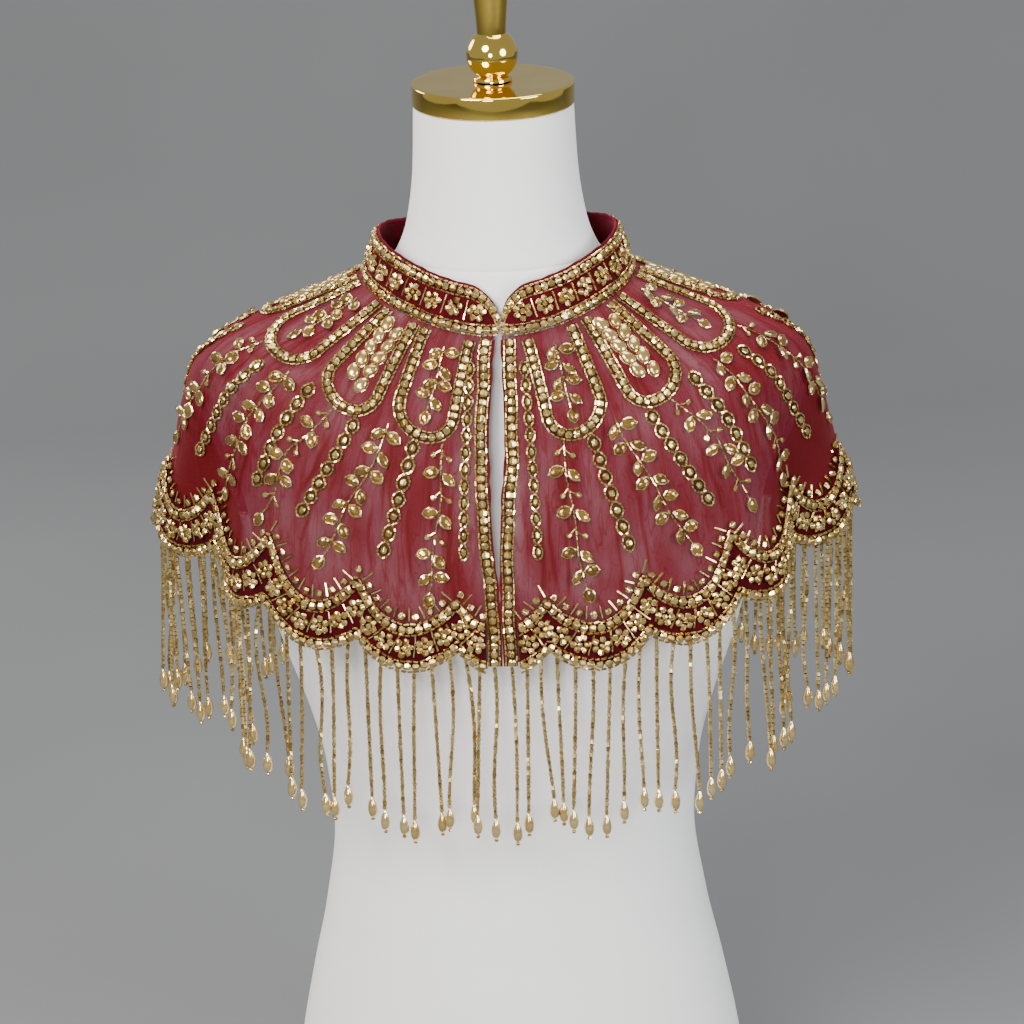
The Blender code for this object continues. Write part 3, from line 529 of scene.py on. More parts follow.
class Nodes:
    """A short way to write one material's nodes."""

    def __init__(self, name: str) -> None:
        """Start a material with a Principled shader.

        Args:
            name: The material's name.
        """
        self.material = bpy.data.materials.new(name)
        self.material.use_nodes = True
        self.tree = self.material.node_tree
        self.shader = self.tree.nodes["Principled BSDF"]
        self.place = self.add("ShaderNodeTexCoord").outputs["Object"]

    def add(self, kind: str, **settings: object) -> bpy.types.Node:
        """Add a node.

        Args:
            kind: The node's type.
            **settings: Properties, or input values where the name is an input's.

        Returns:
            The node.
        """
        node = self.tree.nodes.new(kind)
        for key, value in settings.items():
            if key in node.inputs:
                node.inputs[key].default_value = value
            else:
                setattr(node, key, value)
        return node

    def join(self, source: Socket, target: Socket) -> None:
        """Link two sockets."""
        self.tree.links.new(source, target)

    def fix(self, **values: object) -> None:
        """Set constants on the shader's own sockets, with _ for a space in their names."""
        for key, value in values.items():
            self.shader.inputs[key.replace("_", " ")].default_value = value

    def noise(self, scale: float, detail: float = 3.0, stretch: Sequence[float] = (),
              place: Socket | None = None) -> Socket:
        """Add a noise texture.

        Args:
            scale: Cycles per metre.
            detail: Its octaves.
            stretch: A scale for each axis first, if it isn't even.
            place: The coordinates, or None for the Object ones.

        Returns:
            Its value.
        """
        texture = self.add("ShaderNodeTexNoise", Scale=scale, Detail=detail)
        place = place or self.place
        if stretch:
            mapping = self.add("ShaderNodeMapping")
            mapping.inputs["Scale"].default_value = tuple(stretch)
            self.join(place, mapping.inputs["Vector"])
            place = mapping.outputs["Vector"]
        self.join(place, texture.inputs["Vector"])
        return texture.outputs["Fac"]

    def threads(self, scale: float, blend: str, wander: float) -> Socket:
        """Weave two sets of threads into one value.

        Args:
            scale: Threads per metre.
            blend: How the two sets meet, MULTIPLY or MAXIMUM.
            wander: How far the threads stray.

        Returns:
            The weave.
        """
        look = {"wave_type": "BANDS", "Scale": scale, "Distortion": wander}
        waves = [self.add("ShaderNodeTexWave", bands_direction=way, **look) for way in ("DIAGONAL", "Z")]
        for wave in waves:
            self.join(self.place, wave.inputs["Vector"])
        return self.reckon(blend, waves[0].outputs["Fac"], waves[1].outputs["Fac"])

    def remap(self, value: Socket, low: float, high: float, to_low: float, to_high: float) -> Socket:
        """Map a value from one range to another, clamped.

        Args:
            value: The value.
            low: Its lower limit.
            high: Its upper limit.
            to_low: What the lower limit becomes.
            to_high: What the upper limit becomes.

        Returns:
            The mapped value.
        """
        node = self.add("ShaderNodeMapRange")
        for index, number in enumerate((low, high, to_low, to_high)):
            node.inputs[index + 1].default_value = number
        self.join(value, node.inputs[0])
        return node.outputs[0]

    def ramp(self, value: Socket, stops: Sequence[tuple[float, Sequence[float]]], socket: str) -> None:
        """Colour one of the shader's sockets from a value, by stops of a place and a colour.

        Args:
            value: The value.
            stops: Places and colours.
            socket: The shader's socket.
        """
        node = self.add("ShaderNodeValToRGB")
        elements = node.color_ramp.elements
        while len(elements) < len(stops):
            elements.new(0.5)
        for element, (place, colour) in zip(elements, stops):
            element.position = place
            element.color = (*colour, 1.0)
        self.join(value, node.inputs[0])
        self.feed(node.outputs[0], socket)

    def reckon(self, operation: str, first: object, second: object = 0.0) -> Socket:
        """Work out a sum, product or other result of two values.

        Args:
            operation: The sum's name.
            first: A value or number.
            second: Another one.

        Returns:
            The result.
        """
        node = self.add("ShaderNodeMath", operation=operation)
        for index, value in enumerate((first, second)):
            if isinstance(value, (int, float)):
                node.inputs[index].default_value = value
            else:
                self.join(value, node.inputs[index])
        return node.outputs[0]

    def attribute(self, name: str) -> Socket:
        """Read a number that the mesh carries."""
        return self.add("ShaderNodeAttribute", attribute_name=name).outputs["Fac"]

    def bump(self, value: Socket, depth: float, strength: float = 1.0) -> None:
        """Raise the surface by a value times a depth in metres.

        Args:
            value: The height.
            depth: Metres for a height of one.
            strength: Its share.
        """
        node = self.add("ShaderNodeBump", Distance=depth, Strength=strength)
        self.join(value, node.inputs["Height"])
        self.join(node.outputs["Normal"], self.shader.inputs["Normal"])

    def feed(self, value: Socket, socket: str) -> None:
        """Link a value to one of the shader's sockets."""
        self.join(value, self.shader.inputs[socket])


@dataclass(frozen=True)
class JerseyFinish:
    """The form's white plain-woven cover."""

    shade: Colour = (0.875, 0.865, 0.845)
    light: Colour = (0.915, 0.91, 0.895)
    thread: float = 950.0

    def make(self) -> Material:
        """Return the cover's material.

        Returns:
            The material.
        """
        n = Nodes("white_cover")
        n.ramp(n.noise(9.0), ((0.3, self.shade), (0.75, self.light)), "Base Color")
        n.bump(n.threads(self.thread, "MULTIPLY", 1.5), 0.0003, 0.35)
        n.fix(Roughness=0.88, Sheen_Weight=0.15, Sheen_Roughness=0.5)
        return n.material


@dataclass(frozen=True)
class NetFinish:
    """Crimson net: see-through where it is smooth, full red in its gathers, and darker and denser over the
    arms, partly for its folds there and partly as painted shade.
    """

    smooth: Colour = (0.146, 0.011, 0.026)
    drawn_and_shaded: Colour = (0.118, 0.002, 0.007)
    # The darkest red, in deep gathers and in the painted shade over the arms
    full: Colour = (0.078, 0.0007, 0.002)
    clear: float = 0.48
    gathered: float = 0.93
    mesh: float = 620.0
    line: float = 0.020
    roughness: float = 0.62
    sheen: Tint = (0.9, 0.16, 0.22, 1.0)

    def make(self) -> Material:
        """Return the net's material.

        Returns:
            The material.
        """
        n = Nodes("crimson_net")
        cloth = n.add("ShaderNodeTexCoord").outputs["UV"]
        lines = []
        for scale, stretch, depth in ((95.0, 0.16, 0.34), (190.0, 0.20, 0.22)):
            streak = n.noise(scale, 2.0, (1.0, stretch, 1.0), cloth)
            apart = n.reckon("ABSOLUTE", n.reckon("SUBTRACT", streak, 0.5))
            lines.append(n.remap(apart, 0.0, self.line, depth, 0.0))
        fine = n.reckon("MAXIMUM", *lines)
        # Broad cloudy patches darken and thicken the net: partly its own moiré, partly painted shade of the
        # form seen through it
        cloud = n.remap(n.noise(44.0, 3.0, (1.0, 0.35, 1.0), cloth), 0.39, 0.68, 0.0, 0.56)
        drawn_and_shaded = n.reckon("ADD", n.reckon("MAXIMUM", n.attribute("crease"), fine), cloud)
        # Darker, denser net over the arms: partly its folds, partly painted shade
        shade = n.attribute("folds_and_shade")
        whole = n.reckon("MAXIMUM", drawn_and_shaded, shade)
        n.ramp(whole, ((0.0, self.smooth), (0.5, self.drawn_and_shaded), (1.0, self.full)), "Base Color")
        threads = n.threads(self.mesh, "MAXIMUM", 0.6)
        # Denser in gathers and in the painted shade over the arms
        body = n.remap(whole, 0.0, 1.0, self.clear, self.gathered)
        n.feed(n.reckon("MULTIPLY", body, n.remap(threads, 0.2, 1.0, 0.84, 1.10)), "Alpha")
        glint = n.remap(n.noise(1500.0, 1.0), 0.66, 0.74, 0.0, 0.9)
        shine = n.reckon("MULTIPLY", glint, n.reckon("MULTIPLY", shade, 0.5))
        n.feed(n.reckon("SUBTRACT", self.roughness, shine), "Roughness")
        n.bump(threads, 0.0002, 0.3)
        n.fix(Sheen_Weight=0.24, Sheen_Roughness=0.4, Sheen_Tint=self.sheen, Specular_IOR_Level=0.14)
        return n.material


@dataclass(frozen=True)
class VelvetFinish:
    """A soft pile in one red or brown."""

    name: str
    dark: Colour
    light: Colour
    sheen: Tint = (0.8, 0.12, 0.18, 1.0)

    def make(self) -> Material:
        """Return the pile's material.

        Returns:
            The material.
        """
        n = Nodes(self.name)
        pile = n.noise(900.0, 2.0)
        crushed = n.noise(55.0)
        tone = n.reckon("ADD", n.remap(pile, 0.3, 0.7, 0.0, 0.5), n.remap(crushed, 0.35, 0.7, 0.0, 0.5))
        n.ramp(tone, ((0.1, self.dark), (0.9, self.light)), "Base Color")
        n.bump(pile, 0.0004, 0.6)
        n.fix(Roughness=0.95, Sheen_Weight=0.3, Sheen_Roughness=0.35, Specular_IOR_Level=0.1)
        n.fix(Sheen_Tint=self.sheen)
        return n.material


@dataclass(frozen=True)
class MetalFinish:
    """A metal or metal-lined glass, whose tone varies from bead to bead."""

    name: str
    dark: Colour
    light: Colour
    roughness: tuple[float, float] = (0.14, 0.32)
    metallic: float = 1.0
    coat: float = 0.0
    grime: float = 0.14

    def make(self) -> Material:
        """Return the metal's material.

        Returns:
            The material.
        """
        n = Nodes(self.name)
        tone = n.attribute("tone")
        patches = n.remap(n.noise(260.0, 2.0), 0.3, 0.7, -0.1, 0.3)
        mixed = n.reckon("ADD", n.reckon("MULTIPLY", tone, 0.8), patches)
        n.ramp(mixed, ((0.0, self.dark), (0.85, self.light)), "Base Color")
        smooth, worn = self.roughness
        grime = n.remap(n.noise(900.0), 0.55, 0.8, 0.0, self.grime)
        n.feed(n.reckon("ADD", n.remap(tone, 0.0, 1.0, worn, smooth), grime), "Roughness")
        n.fix(Metallic=self.metallic, Coat_Weight=self.coat, Coat_Roughness=0.08)
        return n.material


@dataclass(frozen=True)
class MirrorFinish:
    """Polished gold-coloured metal of the form's cap and finial."""

    shade: Colour = (0.88, 0.60, 0.10)
    light: Colour = (0.95, 0.70, 0.17)

    def make(self) -> Material:
        """Return the polished metal's material.

        Returns:
            The material.
        """
        n = Nodes("polished_gold")
        smear = n.noise(30.0, 4.0, (1.0, 1.0, 0.25))
        n.ramp(smear, ((0.3, self.shade), (0.8, self.light)), "Base Color")
        n.feed(n.remap(smear, 0.4, 0.8, 0.035, 0.13), "Roughness")
        n.bump(n.noise(70.0, 2.0), 0.0003, 0.12)
        n.fix(Metallic=1.0)
        return n.material


@dataclass(frozen=True)
class StageFinish:
    """Plain grey paint of the floor."""

    shade: Colour = (0.140, 0.142, 0.144)
    light: Colour = (0.158, 0.160, 0.162)

    def make(self) -> Material:
        """Return the stage's material.

        Returns:
            The material.
        """
        n = Nodes("pale_floor")
        n.ramp(n.noise(2.0, 2.0), ((0.3, self.shade), (0.8, self.light)), "Base Color")
        n.fix(Roughness=0.9)
        return n.material


# Meshes


def clear_selection() -> None:
    """Deselect everything and leave edit mode."""
    if bpy.context.object is not None and bpy.context.object.mode != "OBJECT":
        bpy.ops.object.mode_set(mode="OBJECT")
    bpy.ops.object.select_all(action="DESELECT")


@dataclass
class BeadShape:
    """One bead or stone of length, width and height one, whose copies are strewn on the cloth."""

    points: Array
    corners: Array
    starts: Array
    marks: Array

    @staticmethod
    def taken_from(made: Piece, table: float = 0.0) -> "BeadShape":
        """Take the shape over from a modelled object, and remove that object.

        Args:
            made: The modelled bead, its length along X.
            table: The share of a flat-backed stone's width inside its rim, or 0 for a round bead.

        Returns:
            The shape, centred, or with its flat back at height 0. A stone's glass is marked 1.
        """
        clear_selection()
        mesh = made.data
        mesh.transform(made.matrix_world)
        points = np.array([vertex.co[:] for vertex in mesh.vertices])
        low, high = points.min(axis=0), points.max(axis=0)
        points = (points - low) / (high - low) - 0.5
        if table:
            points[:, 2] += 0.5
        sizes = [len(face.vertices) for face in mesh.polygons]
        corners = np.array([index for face in mesh.polygons for index in face.vertices])
        starts = np.concatenate([[0], np.cumsum(sizes)[:-1]])
        middles = np.add.reduceat(points[corners], starts) / np.array(sizes)[:, None]
        inside = np.hypot(middles[:, 0], middles[:, 1] * (1.0 if table else 0.0)) < 0.5 * table
        marks = (inside & (middles[:, 2] > 0.4) & (table > 0.0)).astype(int)
        bpy.data.objects.remove(made, do_unlink=True)
        return BeadShape(points, corners, starts, marks)


class Beadbox:
    """The few bead shapes that the whole garment uses."""

    def __init__(self) -> None:
        """Model each shape once."""
        self.faceted = self.make_round(6, 0.92, 0.22)
        self.tube = self.make_round(5, 1.0, 0.0)
        self.leaf = self.make_stone(12, True, 0.74)
        self.oval = self.make_stone(12, False, 0.84)
        self.pear = self.make_drop(10, 0.50, 0.62)
        self.drop = self.make_drop(8, 0.34, 0.85)

    def make_round(self, sides: int, depth: float, bevel: float) -> BeadShape:
        """Model a bead that lies along X, a hole at each end.

        Args:
            sides: The number of its sides.
            depth: Its length, for a width of one.
            bevel: How far its edges are cut away.

        Returns:
            The bead.
        """
        clear_selection()
        lying = (0.0, 0.5 * math.pi, 0.0)
        bpy.ops.mesh.primitive_cylinder_add(vertices=sides, radius=0.5, depth=depth, rotation=lying)
        if bevel:
            bpy.ops.object.mode_set(mode="EDIT")
            bpy.ops.mesh.select_all(action="SELECT")
            bpy.ops.mesh.bevel(offset=bevel, segments=1, affect="EDGES")
        return BeadShape.taken_from(bpy.context.object)

    def make_stone(self, sides: int, pointed: bool, table: float) -> BeadShape:
        """Model a flat-backed stone in a thin claw rim.

        Args:
            sides: The number of its sides.
            pointed: Whether its two ends are pointed, as a leaf's.
            table: The share of its width that the stone takes inside its rim.

        Returns:
            The stone.
        """
        clear_selection()
        bpy.ops.mesh.primitive_circle_add(vertices=sides, radius=0.5, fill_type="NGON")
        stone = bpy.context.object
        bpy.ops.object.mode_set(mode="EDIT")
        bpy.ops.mesh.select_all(action="SELECT")
        bpy.ops.mesh.extrude_region_move(TRANSFORM_OT_translate={"value": (0.0, 0.0, 0.42)})
        claws = table + 0.06
        for factor, rise in ((claws, 0.16), (table / claws, -0.10), (0.72, 0.34), (0.45, 0.12)):
            bpy.ops.mesh.extrude_region_move(TRANSFORM_OT_translate={"value": (0.0, 0.0, rise)})
            bpy.ops.transform.resize(value=(factor, factor, 1.0))
        bpy.ops.mesh.select_all(action="SELECT")
        bpy.ops.mesh.normals_make_consistent(inside=False)
        clear_selection()
        if pointed:
            for vertex in stone.data.vertices:
                vertex.co.y *= min(1.0, 2.2 * math.sqrt(max(0.25 - vertex.co.x ** 2, 0.0)))
        return BeadShape.taken_from(stone, table)

    def make_drop(self, sides: int, neck: float, swell: float) -> BeadShape:
        """Model a pear-shaped bead, its neck towards -X.

        Args:
            sides: The number of its sides.
            neck: How wide it still is near the neck, as a share.
            swell: How early it gets wide; less is earlier.

        Returns:
            The drop.
        """
        clear_selection()
        lying = (0.0, 0.5 * math.pi, 0.0)
        bpy.ops.mesh.primitive_uv_sphere_add(segments=sides, ring_count=7, radius=0.5, rotation=lying)
        drop = bpy.context.object
        bpy.ops.object.transform_apply(location=False, rotation=True, scale=False)
        for vertex in drop.data.vertices:
            girth = neck + (1.0 - neck) * math.sin(0.5 * math.pi * min(1.0, (vertex.co.x + 0.5) ** swell))
            vertex.co.y *= girth
            vertex.co.z *= girth
        return BeadShape.taken_from(drop)


@dataclass
class Strew:
    """Copies of bead shapes and swept strips, gathered before they are joined into one mesh."""

    box: Beadbox
    seed: int
    parts: list[tuple[BeadShape, Array, Array, int]] = field(default_factory=list)

    def __post_init__(self) -> None:
        """Start the piece's own random order."""
        self.jitter = np.random.default_rng(self.seed)

    def put(self, shape: BeadShape, points: Array, tangents: Array, normals: Array,
            size: Sequence[float] | Array, finish: Finish = Finish.GOLD, loose: float = 0.0) -> None:
        """Put a copy of a shape at each point.

        Args:
            shape: The bead shape.
            points: Where each copy's origin goes.
            tangents: The direction of each copy's length.
            normals: The cloth's outward direction there.
            size: Length, width and height, once or for each copy.
            finish: The finish, or a stone's rim.
            loose: How far, in radians, each copy is turned from its true place.
        """
        points = np.atleast_2d(points)
        count = len(points)
        along = unit(np.broadcast_to(np.atleast_2d(tangents), (count, 3)))
        out = unit(np.broadcast_to(np.atleast_2d(normals), (count, 3)))
        if loose:
            along = unit(along + loose * self.jitter.normal(size=(count, 3)))
            out = unit(out + loose * self.jitter.normal(size=(count, 3)))
        across = unit(np.cross(out, along))
        out = np.cross(along, across)
        sizes = np.broadcast_to(np.atleast_2d(np.asarray(size, float)), (count, 3))
        axes = np.stack([along * sizes[:, :1], across * sizes[:, 1:2], out * sizes[:, 2:]], axis=1)
        placed = np.einsum("vk,nkc->nvc", shape.points, axes) + points[:, None, :]
        self.parts.append((shape, placed, self.jitter.random(count), int(finish)))

    def bugles(self, line: Trace, pitch: float, girth: float, fill: float = 0.80,
               loose: float = 0.13) -> None:
        """Thread tube beads along a line.

        Args:
            line: The row's middle.
            pitch: The wished distance between beads.
            girth: Their thickness, which varies a little.
            fill: The share of the distance that a bead takes.
            loose: How far, in radians, each bead is turned from its true place.
        """
        points, tangents, normals, step = line.even(pitch)
        thick = girth * (0.92 + 0.16 * self.jitter.random(len(points)))
        size = np.stack([0.0 * thick + step * fill, thick, thick], axis=1)
        self.put(self.box.tube, points, tangents, normals, size, loose=loose)

    def beads(self, line: Trace, pitch: float, size: Sequence[float], loose: float = LOOSE) -> None:
        """Thread faceted beads along a line.

        Args:
            line: The row's middle.
            pitch: The wished distance between beads.
            size: Their length, width and height.
            loose: How far, in radians, each bead is turned from its true place.
        """
        points, tangents, normals, _ = line.even(pitch)
        points = points + 0.00018 * self.jitter.normal(size=points.shape)
        vary = 0.95 + 0.10 * self.jitter.random((len(points), 1))
        self.put(self.box.faceted, points, tangents, normals, vary * np.asarray(size), loose=loose)

    def braid(self, line: Trace, pitch: float, size: Sequence[float], apart: float) -> None:
        """Sew faceted beads between two rows of tube beads, on a strip of dark tape that is partly painted
        shade between the beads.

        Args:
            line: The braid's middle, at the middle of the faceted beads' height.
            pitch: The distance between faceted beads.
            size: Length, width and height of a faceted bead.
            apart: How far each row of tube beads lies from the middle.
        """
        self.beads(line, pitch, size)
        for sign in (-1.0, 1.0):
            self.bugles(line.beside(sign * apart, -0.0004), 0.0036, FINE_TUBE)
        # The dark tape: partly a base tape, partly painted shade between the beads
        self.strip(line, apart, -0.0013, -0.0009, Finish.TAPE_AND_SHADE)

    def strip(self, line: Trace, half: float | Array, low: float, high: float, finish: Finish) -> None:
        """Lay a flat strip along a line, half a width to each side, between two lifts.

        Args:
            line: Its middle.
            half: Half its width, one value or one for each point.
            low: The lift of its underside.
            high: The lift of its upper side.
            finish: Its finish.
        """
        wide = np.broadcast_to(np.asarray(half, float), len(line.points))
        corners = ((-1.0, low), (1.0, low), (1.0, high), (-1.0, high))
        self.sweep([line.beside(side * wide, lift) for side, lift in corners], finish)

    def sweep(self, lines: Sequence[Trace], finish: Finish) -> None:
        """Close a solid through lines that run side by side, counted against the clock from its far end.

        Args:
            lines: The lines, each with as many points.
            finish: The solid's finish.
        """
        ring = np.stack([line.points for line in lines], axis=1)
        rows, sides = ring.shape[:2]
        here = np.arange(rows - 1)[:, None] * sides + np.arange(sides)
        there = np.arange(rows - 1)[:, None] * sides + (np.arange(sides) + 1) % sides
        quads = np.stack([here, there, there + sides, here + sides], axis=-1).reshape(-1)
        caps = np.concatenate([np.arange(sides)[::-1], (rows - 1) * sides + np.arange(sides)])
        corners = np.concatenate([quads, caps])
        starts = np.concatenate([np.arange(0, len(quads), 4), len(quads) + np.array([0, sides])])
        shape = BeadShape(ring.reshape(-1, 3), corners, starts, np.zeros(len(starts), dtype=int))
        self.parts.append((shape, shape.points[None], np.array([0.5]), int(finish)))

    def leaf(self, place: Array, aim: Array, normal: Array, size: Sequence[float], angled: bool) -> None:
        """Set one leaf stone with its foot at a place, flat or turned a little on its edge.

        Args:
            place: The leaf's foot.
            aim: The direction of its tip.
            normal: The cloth's outward direction.
            size: Its length and width.
            angled: Whether it stands a little on its edge.
        """
        long, wide = (value * (0.94 + 0.12 * self.jitter.random()) for value in size)
        side = unit(np.cross(normal, aim))
        up = unit(normal + (LEAF_TILT * side if angled else 0.10 * self.jitter.normal(size=3)))
        middle = place + 0.5 * long * unit(aim) + (0.0007 if angled else -0.0003) * normal
        self.put(self.box.leaf, middle, aim, up, (long, wide, LEAF_HEIGHT), Finish.RIM)

    def bud(self, place: Array, aim: Array, normal: Array) -> None:
        """Set a bud: one tube bead and one faceted bead on a short thread.

        Args:
            place: The bud's foot.
            aim: The direction of its tip.
            normal: The cloth's outward direction.
        """
        aim = unit(aim)
        self.put(self.box.tube, place + 0.0026 * aim, aim, normal, (0.0036, 0.0011, 0.0011))
        tip = place + 0.0064 * aim + 0.0003 * normal
        self.put(self.box.faceted, tip, aim, normal, (0.0040, 0.0032, 0.0029), loose=0.2)

    def sprig(self, line: Trace, pitch: float, size: Sequence[float], first: float,
              buds: Sequence[int] = ()) -> None:
        """Sew a stem of tube beads with pairs of leaves.

        Args:
            line: The stem.
            pitch: The distance between pairs.
            size: Length and width of a leaf.
            first: Where the first pair is, from the stem's start.
            buds: Pairs that are buds instead.
        """
        self.bugles(line, TUBE_PITCH, FINE_TUBE)
        places = np.arange(first, line.length() - 0.006, pitch)
        for sign in (-1.0, 1.0):
            points, tangents, normals = line.at(places + (0.0018 if sign > 0.0 else 0.0))
            sides = sign * unit(np.cross(normals, tangents))
            for number, (point, tangent, side, normal) in enumerate(zip(points, tangents, sides, normals)):
                steep = (number + (sign > 0.0)) % 2 == 0
                sway = 0.10 * self.jitter.normal()
                if number in buds:
                    self.bud(point, side + (0.8 + sway) * tangent, normal)
                else:
                    aim = side * (0.62 if steep else 0.95) + (0.72 if steep else 0.22 + sway) * tangent
                    self.leaf(point + 0.0009 * side, aim, normal, size, steep)
        points, tangents, normals = line.at(np.array([line.length()]))
        self.leaf(points[0], tangents[0], normals[0], size, False)

    def flowers(self, line: Trace, pitch: float, radius: float, bead: float, divider: float) -> None:
        """Sew flowers of seven beads along a line, with a short row of three tube beads between each two.

        Args:
            line: The middle of the row.
            pitch: The distance between flowers.
            radius: How far a flower's outer beads lie from its middle.
            bead: The width of its beads.
            divider: The length of a tube bead between two flowers.
        """
        points, tangents, normals, _ = line.even(pitch)
        sides = unit(np.cross(normals, tangents))
        size = np.array([1.0, 0.96, 0.80]) * bead
        for k in range(7):
            turn = 2.0 * math.pi * (k - 1) / 6 + 0.3
            along = math.cos(turn) * tangents + math.sin(turn) * sides
            spot = points + (radius if k else 0.0) * along + 0.0003 * self.jitter.normal(size=points.shape)
            self.put(self.box.faceted, spot, along, normals, size * (1.0 if k else 0.85), loose=0.22)
        between = 0.5 * (points[:-1] + points[1:])
        sides, normals = sides[:-1], normals[:-1]
        for k in (-1.0, 0.0, 1.0):
            spots = between + divider * k * sides - 0.0006 * normals
            self.put(self.box.tube, spots, sides, normals, (0.93 * divider, FINE_TUBE, FINE_TUBE), loose=0.07)

    def make(self, name: str, palette: Sequence[Material]) -> Piece:
        """Join all the copies into one object.

        Args:
            name: The object's name.
            palette: The materials in the order of Finish.

        Returns:
            The object.
        """
        vertices, corners, starts, marks, tones = [], [], [], [], []
        vertex_count = corner_count = 0
        for shape, placed, tone, finish in self.parts:
            copies, size = placed.shape[:2]
            order = np.arange(copies)[:, None]
            vertices.append(placed.reshape(-1, 3))
            corners.append((shape.corners[None] + vertex_count + size * order).ravel())
            starts.append((shape.starts[None] + corner_count + len(shape.corners) * order).ravel())
            marks.append(np.tile(shape.marks + finish, copies))
            tones.append(np.repeat(tone, size))
            vertex_count += copies * size
            corner_count += copies * len(shape.corners)
        used, marked = np.unique(np.concatenate(marks), return_inverse=True)
        mesh = bpy.data.meshes.new(name)
        mesh.vertices.add(vertex_count)
        mesh.vertices.foreach_set("co", np.concatenate(vertices).astype(np.float32).ravel())
        mesh.loops.add(corner_count)
        mesh.loops.foreach_set("vertex_index", np.concatenate(corners).astype(np.int32))
        faces = np.concatenate(starts).astype(np.int32)
        mesh.polygons.add(len(faces))
        mesh.polygons.foreach_set("loop_start", faces)
        mesh.polygons.foreach_set("material_index", marked.astype(np.int32))
        mesh.update(calc_edges=True)
        carried = mesh.attributes.new("tone", "FLOAT", "POINT")
        carried.data.foreach_set("value", np.concatenate(tones).astype(np.float32))
        for index in used:
            mesh.materials.append(palette[index])
        mesh.polygons.foreach_set("use_smooth", np.isin(used[marked], (Finish.PEARL, Finish.HONEY)))
        made = bpy.data.objects.new(name, mesh)
        bpy.context.scene.collection.objects.link(made)
        return made


def grid_sheet(name: str, points: Array, finish: Material, uv: Array | None = None,
               wall: float = 0.0, attributes: dict[str, Array] | None = None) -> Piece:
    """Lay a grid of cloth through points, rows down and columns towards +X at the front.

    Args:
        name: The object's name.
        points: The grid's points, rows by columns.
        finish: Its material.
        uv: The cloth's own coordinates in metres, rows by columns.
        wall: Its thickness inwards, or 0 for none.
        attributes: Numbers that the cloth carries, each rows by columns.

    Returns:
        The cloth.
    """
    rows, cols = points.shape[:2]
    clear_selection()
    bpy.ops.mesh.primitive_grid_add(x_subdivisions=cols - 1, y_subdivisions=rows - 1, size=1.0)
    sheet = bpy.context.object
    sheet.name = name
    sheet.data.name = name
    sheet.data.vertices.foreach_set("co", points[::-1].reshape(-1, 3).astype(np.float32).ravel())
    if uv is not None:
        index = np.empty(len(sheet.data.loops), dtype=np.int32)
        sheet.data.loops.foreach_get("vertex_index", index)
        laid = uv[::-1].reshape(-1, 2)[index].astype(np.float32)
        sheet.data.uv_layers[0].data.foreach_set("uv", laid.ravel())
    for key, values in (attributes or {}).items():
        carried = sheet.data.attributes.new(key, "FLOAT", "POINT")
        carried.data.foreach_set("value", values[::-1].astype(np.float32).ravel())
    sheet.data.materials.append(finish)
    sheet.data.update()
    if wall:
        solid = sheet.modifiers.new("wall", "SOLIDIFY")
        solid.thickness = wall
        solid.offset = -1.0
        solid.use_even_offset = False
        bpy.ops.object.modifier_apply(modifier=solid.name)
    sheet.data.shade_smooth()
    return sheet


def turned(name: str, profile: Sequence[tuple[float, float]], sides: int, finish: Material) -> Piece:
    """Model a closed solid round the neck's axis from its radii and heights, from below.

    Args:
        name: The object's name.
        profile: Radii and heights.
        sides: The number of sides.
        finish: Its material.

    Returns:
        The solid.
    """
    clear_selection()
    radius, height = profile[0]
    low = (0.0, 0.0, height)
    bpy.ops.mesh.primitive_circle_add(vertices=sides, radius=radius, fill_type="NGON", location=low)
    made = bpy.context.object
    bpy.ops.object.transform_apply(location=True, rotation=False, scale=False)
    bpy.ops.object.mode_set(mode="EDIT")
    bpy.ops.mesh.select_all(action="SELECT")
    for wide, high in profile[1:]:
        bpy.ops.mesh.extrude_region_move(TRANSFORM_OT_translate={"value": (0.0, 0.0, high - height)})
        bpy.ops.transform.resize(value=(wide / radius, wide / radius, 1.0))
        radius, height = wide, high
    bpy.ops.mesh.select_all(action="SELECT")
    bpy.ops.mesh.normals_make_consistent(inside=False)
    bpy.ops.object.mode_set(mode="OBJECT")
    made.name = name
    made.data.name = name
    made.data.materials.append(finish)
    made.data.shade_smooth()
    made.data.set_sharp_from_angle(angle=math.radians(50.0))
    return made


def settle(piece: Piece, slot: str, *nodes: str) -> Piece:
    """Let a piece ride on the part and stand for its nodes.

    Args:
        piece: The piece.
        slot: Not used.
        *nodes: The nodes that it replaces.

    Returns:
        The piece.
    """
    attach(piece, BODY)
    if nodes:
        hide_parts(*nodes)
    LOG.info("%s: %d faces", piece.name, len(piece.data.polygons))
    return piece


@dataclass
class Beadwork:
    """What beadwork is sewn on and from: the cloth's form, the bead shapes and their finishes."""

    cape: Cape
    box: Beadbox
    palette: Sequence[Material]

    def keep(self, draw: Strew, name: str, *nodes: str) -> None:
        """Join the beads that were sewn, and let them stand for their nodes."""
        settle(draw.make(name, self.palette), "beads", *nodes)


# Sub-assemblies


